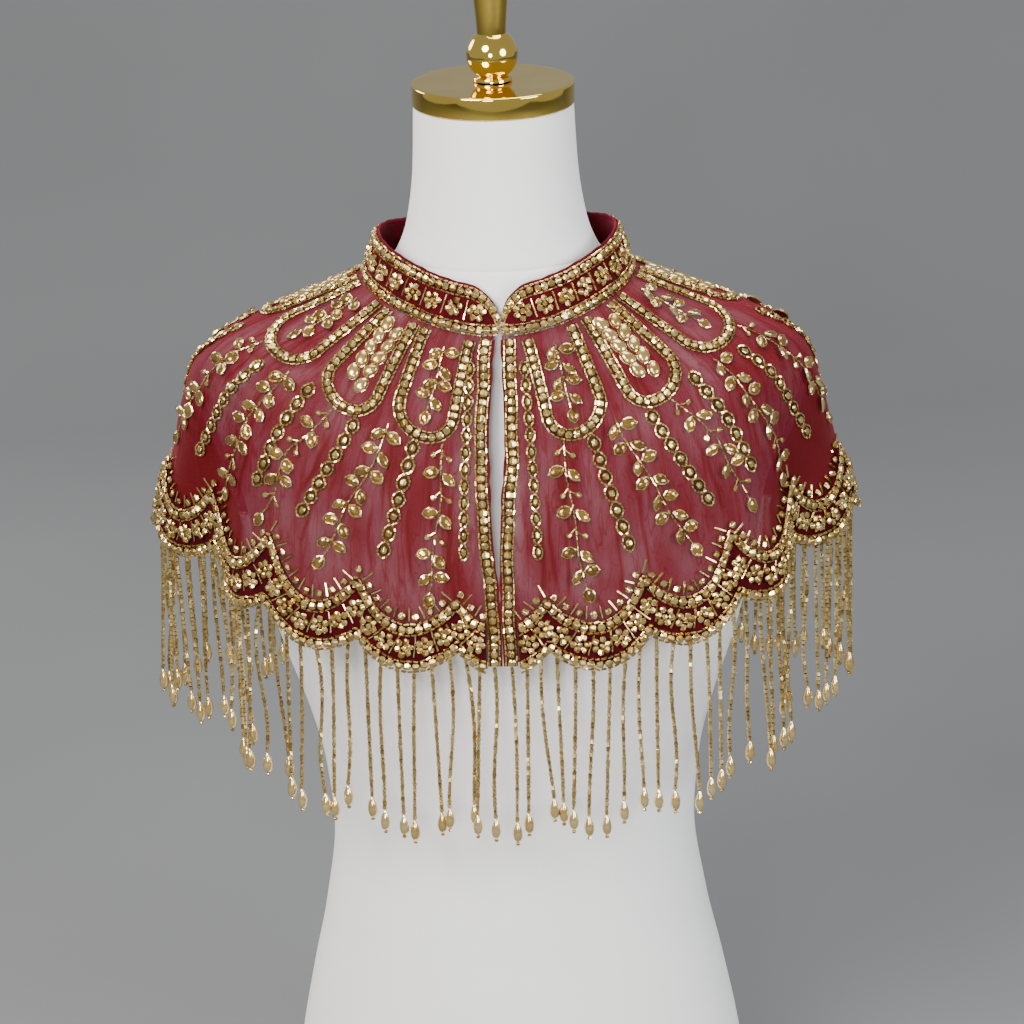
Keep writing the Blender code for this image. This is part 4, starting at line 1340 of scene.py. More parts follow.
@dataclass
class DressForm:
    """The covered body with its metal cap and finial."""

    neck_top: float = 0.7592
    cap_radius: float = 0.0520
    cap_height: float = 0.0142
    cap_edge: float = 0.0013
    ball_radius: float = 0.0165
    foot_radius: float = 0.0125
    foot_height: float = 0.0030
    stem_radius: float = 0.0093
    stem_top: float = 0.0130
    stem_length: float = 0.0400
    stem_end: float = 0.0035
    seam_height: float = 0.664
    seam_depth: float = 0.0005
    shoulder: float = 0.56

    def build(self, cover: Material, gold: Material) -> None:
        """Build the body, the cap and the finial.

        Args:
            cover: The cloth cover's material.
            gold: The polished metal.
        """
        settle(self.build_body(cover), "jersey", "form_body")
        settle(self.build_cap(gold), "gold_metal", "form_neck_cap")
        settle(self.build_finial(gold), "gold_metal", "form_finial")

    def build_body(self, cover: Material) -> Piece:
        """Build the smooth body, with a fine seam round the neck.

        Args:
            cover: The cloth cover's material.

        Returns:
            The body.
        """
        seam = self.seam_height
        heights = np.concatenate([
            np.arange(0.0, self.shoulder, 0.008),
            np.arange(self.shoulder, seam - 0.002, 0.003),
            seam + np.linspace(-0.0012, 0.0012, 5),
            np.arange(seam + 0.004, self.neck_top - 0.001, 0.004),
            [self.neck_top],
        ])
        body = turned("body_cover", [(0.1, float(height)) for height in heights], 144, cover)
        for vertex in body.data.vertices:
            angle, height = math.atan2(vertex.co.x, -vertex.co.y), vertex.co.z
            dip = self.seam_depth * math.exp(-((height - seam) / 0.0007) ** 2)
            radius = float(form_radius(np.array(angle), np.array(height))) - dip
            vertex.co.x, vertex.co.y = radius * math.sin(angle), -radius * math.cos(angle)
        return body

    def build_cap(self, gold: Material) -> Piece:
        """Build the flat cap with its rounded rims.

        Args:
            gold: The polished metal.

        Returns:
            The cap.
        """
        low = self.neck_top + SEAM_GAP
        high = low + self.cap_height
        wide, edge = self.cap_radius, self.cap_edge
        profile = [(wide - 2.0 * edge, low)]
        for middle, start in ((low + edge, -0.5 * math.pi), (high - edge, 0.0)):
            for turn in np.linspace(start, start + 0.5 * math.pi, 7):
                profile.append((wide - edge + edge * math.cos(turn), middle + edge * math.sin(turn)))
        profile += [(wide - 3.0 * edge, high), (self.foot_radius - 0.002, high)]
        return turned("neck_cap", profile, 128, gold)

    def build_finial(self, gold: Material) -> Piece:
        """Build the foot, the ball and the flared stem.

        Args:
            gold: The polished metal.

        Returns:
            The finial.
        """
        foot = self.neck_top + SEAM_GAP + self.cap_height + SEAM_GAP
        wide, ball = self.foot_radius, self.ball_radius
        profile = [(wide - 0.0006, foot), (wide, foot + 0.0005), (wide, foot + 0.0022)]
        profile.append((wide - 0.0008, foot + self.foot_height))
        start = math.asin(0.72 * wide / ball)
        centre = profile[-1][1] + ball * math.cos(start)
        for turn in np.linspace(start, math.pi - math.asin(self.stem_radius / ball), 25):
            profile.append((ball * math.sin(turn), centre - ball * math.cos(turn)))
        stem = profile[-1][1]
        for share in np.linspace(0.0, 1.0, 13)[1:]:
            radius = self.stem_radius + (self.stem_top - self.stem_radius) * share ** 1.4
            profile.append((radius, stem + self.stem_length * share))
        for turn in np.linspace(0.0, 0.5 * math.pi, 6)[1:]:
            radius = self.stem_top * (0.62 + 0.38 * math.cos(turn))
            profile.append((radius, stem + self.stem_length + self.stem_end * math.sin(turn)))
        return turned("finial", profile, 64, gold)


@dataclass(frozen=True)
class Crease:
    """A soft gather that runs down the net, with its angle in degrees."""

    angle: float
    top: float
    bottom: float
    drift: float
    width: float
    strength: float


@dataclass
class Net:
    """The three net panels."""

    cape: Cape
    column_pitch: float = 0.0015
    row_pitch: float = 0.0034
    wall: float = 0.0003
    middle: float = 0.0008
    ridge: float = 0.0009
    ripple: float = 0.00035
    usual_length: float = 0.23
    free_turn: float = 1e-6
    crease_pitch: float = 2.2
    seed: int = 11
    # Where the net over the arms is painted darker, partly for its folds, partly as painted shade
    fold_shade_lengths = (0.000, 0.105, 0.120, 0.136, 0.146, 0.155, 0.162, 0.173, 0.182, 0.300)
    fold_shade_angles = (96.0, 94.0, 88.0, 84.5, 78.0, 74.0, 71.0, 66.5, 62.5, 60.0)
    fold_shade_end: float = 120.0
    marked = (
        Crease(-15.2, 0.088, 0.174, -1.6, 0.0017, 1.0),
        Crease(16.0, 0.120, 0.176, 1.0, 0.0012, 0.7),
        Crease(-48.0, 0.085, 0.150, -5.0, 0.0013, 0.8),
        Crease(66.0, 0.100, 0.185, 2.0, 0.0018, 0.8),
        Crease(-64.0, 0.100, 0.185, -3.0, 0.0018, 0.8),
    )

    def creases(self) -> list[Crease]:
        """Return the gathers: some set where they show most, and many fine ones between.

        Returns:
            The gathers.
        """
        draw = np.random.default_rng(self.seed)
        found = list(self.marked)
        for angle in np.arange(-177.0, 178.0, self.crease_pitch):
            top = 0.030 + 0.090 * draw.random()
            angle = angle + draw.uniform(-1.0, 1.0)
            bottom = top + 0.040 + 0.070 * draw.random()
            drift = draw.uniform(-3.0, 3.0)
            width = draw.uniform(0.0008, 0.0013)
            found.append(Crease(angle, top, bottom, drift, width, draw.uniform(0.25, 0.85)))
        return found

    def crease_map(self, angle: Array, length: Array) -> Array:
        """Return how strongly the net is gathered at each place, from 0 to 1.

        Args:
            angle: Angles round the neck.
            length: Lengths below the neckline.

        Returns:
            The strengths.
        """
        gathered = np.zeros(angle.shape)
        _, _, radian = self.cape.read(angle, length)
        for index, crease in enumerate(self.creases()):
            down = (length - crease.top) / (crease.bottom - crease.top)
            wander = 0.9 * np.sin(length * 95.0 + index * 1.7) + 0.4 * np.sin(length * 210.0 + index)
            centre = np.radians(crease.angle + crease.drift * down + wander * 0.45)
            apart = ((angle - centre + math.pi) % (2.0 * math.pi) - math.pi) * radian
            fade = np.clip(np.minimum(down, 1.0 - down) * 3.0, 0.0, 1.0)
            fade = fade * fade * (3.0 - 2.0 * fade)
            gathered = np.maximum(gathered, crease.strength * fade * np.exp(-(apart / crease.width) ** 2))
        return gathered

    def fold_shade_map(self, angle: Array, length: Array) -> Array:
        """Return how strongly the net over the arms is darkened and thickened, from 0 to 1: partly for its
        folds, partly as painted shade.

        Args:
            angle: Angles round the neck.
            length: Lengths below the neckline.

        Returns:
            The shares.
        """
        away = np.abs(np.degrees((angle + math.pi) % (2.0 * math.pi) - math.pi))
        start = np.interp(length, self.fold_shade_lengths, self.fold_shade_angles)
        inside = np.clip(np.minimum((away - start) / 2.2, (self.fold_shade_end - away) / 14.0), 0.0, 1.0)
        return 0.92 * inside * np.clip((length - 0.095) / 0.030, 0.0, 1.0)

    def build(self, finish: Material) -> dict[str, Piece]:
        """Build the two fronts and the back.

        Args:
            finish: The net's material.

        Returns:
            The panels by name.
        """
        panels = {}
        share = np.linspace(0.0, 1.0, int(self.usual_length / self.row_pitch))[:, None]
        for label, turns, signed in self.cape.panels(self.free_turn, self.column_pitch):
            plain = self.cape.angle_of(signed)
            length = share * (self.cape.hem_length(signed) - EDGE_TUCK)[None]
            down = length / self.cape.total(plain)[None]
            angle = self.cape.opened(np.broadcast_to(plain, length.shape), down)
            points, normals, _ = self.cape.read(angle, length)
            gathered = self.crease_map(angle, length)
            wave = np.sin(angle * 41.0 + 3.0 * np.sin(length * 30.0)) * np.sin(math.pi * share)
            lift = self.middle + 0.5 * self.wall + self.ridge * gathered + self.ripple * wave
            points = points + lift[..., None] * normals
            cloth = np.stack([np.broadcast_to(turns * self.cape.half_hem, length.shape), length], axis=-1)
            # The second map darkens the net over the arms: partly folds, partly painted shade
            carried = {"crease": gathered, "folds_and_shade": self.fold_shade_map(angle, length)}
            panel = grid_sheet(f"net_{label}_cloth", points, finish, cloth, self.wall, carried)
            panels[label] = settle(panel, "net", "net_" + label)
        return panels


@dataclass(frozen=True)
class Petal:
    """A petal: both legs' angles in degrees at the neckline and the round end, its length, its pull."""

    first_top: float
    first_end: float
    last_top: float
    last_end: float
    end_length: float
    pull: float = 0.0

    def legs(self, side: Side) -> Array:
        """Return the angles of both legs, each at the neckline and at the round end, in radians.

        Args:
            side: The side of the garment.

        Returns:
            The angles, a row for each leg.
        """
        legs = np.array([(self.first_top, self.first_end), (self.last_top, self.last_end)])
        if side is Side.LEFT:
            legs = -legs[::-1]
        return np.radians(legs - self.pull)


@dataclass
class Petals(Beadwork):
    """The bead petals round the neckline with what they hold."""

    top: float = 0.0048
    full_top: float = 0.0060
    flare: float = 0.7
    lift: float = NET_WALL + 0.0014
    bead_pitch: float = 0.0051
    bead = (0.0045, 0.0044, 0.0034)
    apart: float = 0.0034
    stem_lift: float = NET_WALL + 0.0008
    stem_top: float = 0.012
    stem_sway: float = 0.012
    first_pair: float = 0.002
    pair_pitch: float = 0.0100
    leaf_size = (0.0104, 0.0076)
    claw = (0.0116, 0.0088, 0.0011)
    stone = (0.0109, 0.0081, 0.0036)
    stone_apart: float = 0.0047
    stone_splay: float = 0.42
    shapes = (
        Petal(12.6, 16.0, 32.7, 33.8, 0.0530, 0.8),
        Petal(38.9, 41.0, 52.8, 56.0, 0.0555),
        Petal(58.9, 62.0, 78.6, 80.6, 0.0520),
        Petal(84.9, 87.0, 99.5, 100.2, 0.0560),
        Petal(105.6, 107.5, 120.4, 121.5, 0.0550),
        Petal(126.9, 127.8, 142.2, 143.2, 0.0550),
        Petal(149.2, 148.8, 164.9, 166.0, 0.0550),
        Petal(172.3, 171.0, 187.7, 189.0, 0.0550),
    )
    stone_lengths = (0.0135, 0.0165, 0.0225, 0.0260, 0.0315, 0.0355, 0.0410, 0.0450, 0.0510, 0.0560)

    def leg(self, petal: Petal, side: Side, length: Array) -> Array:
        """Return the angles of a petal's two legs at lengths, as two rows."""
        part = np.clip((length - self.full_top) / (petal.end_length - self.full_top), 0.0, 1.0)
        return np.stack([top + (end - top) * part ** self.flare for top, end in petal.legs(side)])

    def outline(self, petal: Petal, side: Side) -> Trace:
        """Return the line down one leg, round the end and up the other leg.

        Args:
            petal: The petal.
            side: Its side of the garment.

        Returns:
            The line.
        """
        leg = np.linspace(self.top, petal.end_length, 27)[:-1]
        first, last = self.leg(petal, side, leg)
        (_, start), (_, stop) = petal.legs(side)
        middle, spread = 0.5 * (start + stop), 0.5 * (stop - start)
        radius = spread * float(self.cape.read(middle, petal.end_length)[2])
        bearing = np.linspace(0.0, math.pi, 33)
        angle = np.concatenate([first, middle - spread * np.cos(bearing), last[::-1]])
        length = np.concatenate([leg, petal.end_length + radius * np.sin(bearing), leg[::-1]])
        return self.cape.trace(angle, length, self.lift)

    def build(self) -> None:
        """Build each petal's braid and what it holds."""
        for index, petal in enumerate(self.shapes, 1):
            for side in Side if index < len(self.shapes) else (Side.RIGHT,):
                label = "petal_centre_back" if index == len(self.shapes) else f"petal_{side.word()}_{index}"
                draw = Strew(self.box, 100 + 2 * index + int(side is Side.RIGHT))
                draw.braid(self.outline(petal, side), self.bead_pitch, self.bead, self.apart)
                if index % 2:
                    self.set_sprig(draw, petal, side)
                else:
                    self.set_stones(draw, petal, side)
                self.keep(draw, label + "_beads", label)

    def set_sprig(self, draw: Strew, petal: Petal, side: Side) -> None:
        """Fill a petal with a leafy stem.

        Args:
            draw: The petal's beads.
            petal: The petal.
            side: Its side.
        """
        length = np.linspace(self.stem_top, petal.end_length + 0.001, 30)
        middle = self.leg(petal, side, length).mean(axis=0)
        sway = self.stem_sway * np.sin(length * 75.0 + side.value)
        stem = self.cape.trace(middle + sway, length, self.stem_lift)
        draw.sprig(stem, self.pair_pitch, self.leaf_size, self.first_pair)

    def set_stones(self, draw: Strew, petal: Petal, side: Side) -> None:
        """Fill a petal with two staggered columns of smooth pear-shaped stones.

        Args:
            draw: The petal's beads.
            petal: The petal.
            side: Its side.
        """
        for number, length in enumerate(self.stone_lengths):
            column = 1 if number % 2 else -1
            first, last = self.leg(petal, side, np.array([length]))
            angle = 0.5 * (first + last)
            radian = self.cape.read(angle, length)[2]
            room = np.minimum(self.stone_apart, 0.22 * (last - first) * radian)
            spot = angle + column * room / radian + np.zeros(2)
            line = self.cape.trace(spot, np.array([length, length + 0.001]), NET_WALL + 0.0016)
            across = line.sides()[0]
            aim = line.tangents()[0] - (self.stone_splay * column + 0.10 * draw.jitter.normal()) * across
            spread = 0.93 + 0.12 * draw.jitter.random()
            size = np.array([spread, spread, 1.0])
            place, normal = line.points[0], line.normals[0]
            draw.put(self.box.oval, place - 0.0016 * normal, aim, normal, size * self.claw, Finish.RIM)
            draw.put(self.box.pear, place, aim, normal, size * self.stone, Finish.HONEY, 0.08)


@dataclass(frozen=True)
class Chain:
    """A chain's angles and lengths at both ends, its width and its pull, with the angles in degrees."""

    top_angle: float
    top_length: float
    end_angle: float
    end_length: float
    narrow: float = 1.0
    pull: float = 0.0


@dataclass
class Chains(Beadwork):
    """The chains of bead rings that run down to the cusps."""

    pitch: float = 0.0108
    swell: float = 0.0040
    roundness: float = 0.65
    drift_power: float = 1.25
    lift: float = NET_WALL + 0.0010
    tube_pitch: float = 0.0024
    tube_girth: float = 0.00135
    bead = (0.0044, 0.0039, 0.0031)
    routes = (
        Chain(10.7, 0.018, 10.3, 0.143, 0.70, 1.6),
        Chain(27.9, 0.074, 32.8, 0.153),
        Chain(44.2, 0.076, 51.7, 0.151),
        Chain(57.3, 0.072, 61.6, 0.151),
        Chain(70.5, 0.084, 79.0, 0.172),
        Chain(87.5, 0.086, 98.0, 0.177),
        Chain(105.0, 0.082, 115.0, 0.171),
        Chain(128.0, 0.082, 136.0, 0.166),
        Chain(154.0, 0.082, 162.0, 0.164),
    )

    def line(self, chain: Chain, side: Side) -> Trace:
        """Return the middle of one chain.

        Args:
            chain: The chain.
            side: Its side of the garment.

        Returns:
            The line.
        """
        down = np.linspace(0.0, 1.0, 120)
        angle = np.radians(chain.top_angle + (chain.end_angle - chain.top_angle) * down ** self.drift_power)
        length = chain.top_length + (chain.end_length - chain.top_length) * down
        return self.cape.trace(side.value * angle - math.radians(chain.pull), length, self.lift)

    def build(self) -> None:
        """Build the chains on both sides."""
        for index, chain in enumerate(self.routes, 1):
            for side in Side:
                route = self.line(chain, side)
                draw = Strew(self.box, 500 + 2 * index + int(side is Side.RIGHT))
                links = max(2, round(route.length() / self.pitch))
                dense = np.linspace(0.0, 1.0, links * 16 + 1)
                points, _, normals = route.at(dense * route.length())
                middle = Trace(points, normals)
                wave = np.sin(math.pi * links * dense)
                bow = self.swell * chain.narrow * np.sign(wave) * np.abs(wave) ** self.roundness
                for sign in (-1.0, 1.0):
                    strand = middle.beside(sign * bow, 0.0004 * sign * np.cos(math.pi * links * dense))
                    draw.bugles(strand, self.tube_pitch, self.tube_girth, loose=0.16)
                # Dark tape inside the rings: partly tape, partly painted shade
                draw.strip(middle, 0.0003 + np.abs(bow), -0.0010, -0.0006, Finish.TAPE_AND_SHADE)
                centres, tangents, outs, _ = middle.even(self.pitch, links)
                size = np.array(self.bead) * (1.0, chain.narrow, 1.0)
                draw.put(self.box.faceted, centres + 0.0002 * outs, tangents, outs, size, loose=LOOSE)
                label = f"chain_{side.word()}_{index}"
                self.keep(draw, label + "_beads", label)


@dataclass(frozen=True)
class Stem:
    """A stem's angles in degrees, its lengths down the net and the pairs that are buds."""

    angles: tuple[float, ...]
    lengths: tuple[float, ...]
    buds: tuple[int, ...] = ()


@dataclass
class Sprigs(Beadwork):
    """The leafy stems between the chains."""

    lift: float = NET_WALL + 0.0008
    pair_pitch: float = 0.0130
    first_pair: float = 0.004
    leaf_size = (0.0110, 0.0080)
    front = (
        Stem((19.3, 19.0, 19.6, 20.8), (0.072, 0.100, 0.135, 0.166), (0, 2, 4)),
        Stem((35.5, 36.0, 38.5, 41.5, 45.8), (0.070, 0.078, 0.104, 0.128, 0.166)),
        Stem((50.5, 54.0, 56.0, 57.7, 59.0), (0.078, 0.105, 0.118, 0.147, 0.163), (0, 2, 5)),
        Stem((64.0, 64.5, 66.5, 68.2, 70.2), (0.076, 0.100, 0.122, 0.140, 0.172), (5,)),
        Stem((76.0, 80.5, 86.0), (0.077, 0.125, 0.172), (0, 3)),
    )
    behind = (
        Stem((94.5, 101.0, 106.0), (0.078, 0.125, 0.172), (1, 4)),
        Stem((112.5, 117.0, 124.0), (0.080, 0.125, 0.170), (0, 3)),
        Stem((136.0, 142.5, 147.0), (0.082, 0.125, 0.164), (2,)),
        Stem((162.0, 166.0, 171.5), (0.084, 0.125, 0.164), (0, 3)),
    )

    def build(self) -> None:
        """Build the stems of each panel."""
        panels = (
            ("front_right", (Side.RIGHT,), self.front),
            ("front_left", (Side.LEFT,), self.front),
            ("back", tuple(Side), self.behind),
        )
        for number, (label, sides, stems) in enumerate(panels):
            draw = Strew(self.box, 700 + number)
            for side in sides:
                for index, stem in enumerate(stems):
                    length = np.linspace(stem.lengths[0], stem.lengths[-1], 70)
                    sway = 0.35 * np.sin(length * 110.0 + index + side.value)
                    route = curve_through(length, np.array(stem.lengths), np.array(stem.angles))
                    angle = np.radians(route + sway)
                    line = self.cape.trace(side.value * angle, length, self.lift)
                    draw.sprig(line, self.pair_pitch, self.leaf_size, self.first_pair, stem.buds)
            self.keep(draw, f"sprigs_{label}_beads")


@dataclass
class FrontBands(Beadwork):
    """The bead braids down the two free front edges."""

    inset: float = 0.0045
    top: float = 0.0030
    lift: float = NET_WALL + 0.0015
    pitch: float = 0.0053
    bead = (0.0047, 0.0045, 0.0035)
    apart: float = 0.0034

    def build(self) -> None:
        """Build both bands with the narrow turned edge of net beside them."""
        whole = float(self.cape.total(np.zeros(1))[0])
        length = np.linspace(self.top, whole - self.top, 120)
        for side in Side:
            free = self.cape.front_edge(length / whole, side.value)
            _, _, radian = self.cape.read(side.value * free, length)
            angle = side.value * (free + (self.inset + 0.0003 * np.sin(length * 160.0 + side.value)) / radian)
            draw = Strew(self.box, 60 + int(side is Side.RIGHT))
            draw.braid(self.cape.trace(angle, length, self.lift), self.pitch, self.bead, self.apart)
            ragged = 0.0003 + 0.0009 * np.abs(np.sin(length * 170.0)) * np.sin(length * 41.0 + 1.0) ** 2
            edge = self.cape.trace(side.value * (free + 0.0006 / radian), length, NET_WALL)
            draw.strip(edge, 0.0006 + ragged, -0.0001, 0.0003, Finish.CRIMSON)
            label = f"front_band_{side.word()}"
            self.keep(draw, label + "_beads", label)


@dataclass
class Border(Beadwork):
    """The velvet hem band with its rows, rosettes and rays."""

    wall: float = 0.0010
    free_edge: float = 0.0095
    column_pitch: float = 0.0016
    cusp_drop: float = 0.0028
    puff: float = 0.0019
    pile: float = 0.00025
    top_row: float = 0.0250
    low_row: float = 0.0012
    rise: float = NET_WALL + SEAM_GAP + 0.0021
    row_apart: float = 0.0034
    tube_pitch: float = 0.0042
    row_pitch: float = 0.0056
    row_bead = (0.0049, 0.0045, 0.0036)
    rosette_pitch: float = 0.0138
    rosette = (0.0042, 0.0041, 0.0046)
    ray_pitch: float = 0.0052
    ray_tube = (0.0041, STURDY_TUBE, STURDY_TUBE)
    ray_bead = (0.0047, 0.0042, 0.0035)

    def build(self, velvet: Material) -> dict[str, Piece]:
        """Build the band and its beads, panel by panel.

        Args:
            velvet: The velvet's material.

        Returns:
            The velvet bands by name.
        """
        bands = {}
        free = self.free_edge / self.cape.half_hem
        for number, (label, turns, signed) in enumerate(self.cape.panels(free, self.column_pitch)):
            top = BORDER_HEIGHT + border_peak(signed)
            low = -self.cusp_drop * (1.0 - scallop_fill(signed)) ** 3
            rows = []
            for share in np.linspace(0.0, 1.0, 15):
                puff = self.puff * math.sin(math.pi * min(1.0, 0.12 + share * 0.86)) ** 0.6
                pile = self.pile * np.sin(turns * 900.0 + 9.0 * share)
                row = self.cape.hem_trace(signed, top + (low - top) * share, NET_WALL + SEAM_GAP + 0.0003)
                rows.append(row.beside(0.0, puff + pile).points)
            band = grid_sheet(f"border_{label}_velvet", np.stack(rows), velvet, wall=self.wall)
            bands[label] = settle(band, "velvet", "border_" + label)
            draw = Strew(self.box, 900 + number)
            self.sew(draw, signed)
            self.keep(draw, f"border_{label}_beads")
        return bands

    def sew(self, draw: Strew, turns: Array) -> None:
        """Sew the rows and rosettes of one panel.

        Args:
            draw: The panel's beads.
            turns: The panel's turns, with a sign for the side.
        """
        peak = border_peak(turns)
        for height, lift in ((self.top_row + peak, 0.0016), (self.low_row + 0.0 * peak, 0.0014)):
            for sign in (-1.0, 1.0):
                beside = self.cape.hem_trace(turns, height + sign * self.row_apart, self.rise + lift - 0.0005)
                draw.bugles(beside, self.tube_pitch, STURDY_TUBE)
            row = self.cape.hem_trace(turns, height, self.rise + lift)
            draw.beads(row, self.row_pitch, self.row_bead, 0.2)
        middle = 0.5 * (self.top_row + self.low_row + peak)
        line = self.cape.hem_trace(turns, middle, self.rise + 0.0014)
        draw.flowers(line, self.rosette_pitch, *self.rosette)
        self.rays(draw, turns, BORDER_HEIGHT + peak)

    def rays(self, draw: Strew, turns: Array, height: Array) -> None:
        """Sew short rays of tube beads, with single beads between them, above the band.

        Args:
            draw: The panel's beads.
            turns: The panel's turns, with a sign for the side.
            height: The band's height at each.
        """
        foot = self.cape.hem_trace(turns, height + 0.0012, NET_WALL + 0.0009)
        points, tangents, normals, _ = foot.even(self.ray_pitch)
        sides = unit(np.cross(normals, tangents))
        upward = sides * np.sign(sides[:, 2:])
        lean = unit(upward[::2] + 0.10 * draw.jitter.normal(size=upward[::2].shape))
        for k in range(2):
            spots = points[::2] + (0.0020 + 0.0043 * k) * lean
            draw.put(self.box.tube, spots, lean, normals[::2], self.ray_tube)
        upward, normals = upward[1::2], normals[1::2]
        spots = points[1::2] + 0.0026 * upward + 0.0008 * normals
        draw.put(self.box.faceted, spots, upward, normals, self.ray_bead, loose=0.3)


@dataclass
class Collar(Beadwork):
    """The standing velvet collar with its braids and flowers."""

    height: float = 0.0270
    lean: float = 0.0095
    wall: float = 0.0020
    lift: float = 0.0016
    rest: float = 0.0010
    corner: float = 0.0220
    end_height: float = 0.0060
    end_gap: float = 0.0016
    face: float = 0.0010
    pile_wall: float = 0.0018
    top_row: float = 0.0042
    low_row: float = 0.0012
    row_apart: float = 0.0030
    row_pitch: float = 0.0049
    row_bead = (0.0044, 0.0042, 0.0032)
    flower_pitch: float = 0.0150
    flower = (0.0040, 0.0040, 0.0042)
    flower_room: float = 0.0200
    level_range = (-0.08, 1.02)

    def rise_at(self, angle: Array) -> Array:
        """Return the collar's height, which rounds away at its two front ends.

        Args:
            angle: Angles from 0 to a full turn.

        Returns:
            The heights.
        """
        out = CAPE_STATIONS[0, 3]
        from_end = (np.minimum(angle, 2.0 * math.pi - angle) - math.asin(self.end_gap / out)) * out
        missing = np.clip(1.0 - from_end / self.corner, 0.0, 1.0)
        rounded = np.sqrt(np.clip(1.0 - missing ** 2, 0.0, 1.0))
        return self.end_height + (self.height - self.end_height) * rounded

    def trace(self, angle: Array, level: float | Array, out_by: float) -> Trace:
        """Return a line on the collar's outer side.

        Args:
            angle: Angles from 0 at the front, round the right side, to a full turn.
            level: The share of the collar's height.
            out_by: How far outside its middle.

        Returns:
            The line.
        """
        level = np.broadcast_to(np.asarray(level, float), angle.shape)
        out, base = self.cape.plain(angle, np.zeros(angle.shape))
        height = base + self.lift + self.rise_at(angle) * level
        inner = np.maximum(out - 0.5 * self.wall - self.lean * level, form_radius(angle, height) + self.rest)
        radius = inner + 0.5 * self.wall
        steep = np.full(angle.shape, self.lean / self.height)
        slope = unit(np.stack([np.sin(angle), -np.cos(angle), steep], axis=1))
        points = np.stack([radius * np.sin(angle), -radius * np.cos(angle), height], axis=1)
        return Trace(points + out_by * slope, slope)

    def angles(self, count: int) -> Array:
        """Return angles round the collar, closer together at its rounded ends.

        Args:
            count: The number of angles between the rounded ends.

        Returns:
            The angles.
        """
        out = CAPE_STATIONS[0, 3]
        end = math.asin(self.end_gap / out)
        start = end + self.corner / out
        ramp = end + self.corner / out * (1.0 - np.cos(np.linspace(0.0, 0.5 * math.pi, 26)))[:-1]
        middle = np.linspace(start, 2.0 * math.pi - start, count)
        return np.concatenate([ramp, middle, 2.0 * math.pi - ramp[::-1]])

    def build(self, velvet: Material) -> Piece:
        """Build the collar with its beads and its rolled edge.

        Args:
            velvet: The velvet's material.

        Returns:
            The velvet band.
        """
        angle = self.angles(260)
        rows = [
            self.trace(angle, level, self.face + 0.0003 * math.sin(math.pi * level)).points
            for level in np.linspace(1.0, 0.0, 15)
        ]
        band = grid_sheet("collar_velvet", np.stack(rows), velvet, wall=self.pile_wall)
        settle(band, "velvet", "collar")
        draw = Strew(self.box, 41)
        top = self.rise_at(angle)
        for height in (top - self.top_row, np.full(angle.shape, self.low_row)):
            for sign in (-1.0, 1.0):
                level = np.clip((height + sign * self.row_apart) / top, *self.level_range)
                draw.bugles(self.trace(angle, level, self.face + 0.0009), TUBE_PITCH, FINE_TUBE)
            middle = self.trace(angle, np.clip(height / top, *self.level_range), self.face + 0.0014)
            draw.beads(middle, self.row_pitch, self.row_bead, 0.16)
        inner = angle[top > self.flower_room]
        draw.flowers(self.trace(inner, 0.45, self.face + 0.0013), self.flower_pitch, *self.flower)
        roll = 0.0009 + 0.0003 * np.sin(angle * 37.0) * np.sin(angle * 11.0)
        rim = self.trace(angle, 1.0, 0.0002)
        up = np.array([0.0, 0.0, 1.0])
        ring = []
        for turn in np.linspace(0.0, 2.0 * math.pi, 9)[:-1]:
            away = math.sin(turn) * up + 0.8 * math.cos(turn) * rim.normals
            ring.append(Trace(rim.points + roll[:, None] * away, rim.normals))
        draw.sweep(ring, Finish.CRIMSON)
        self.keep(draw, "collar_beads")
        return band


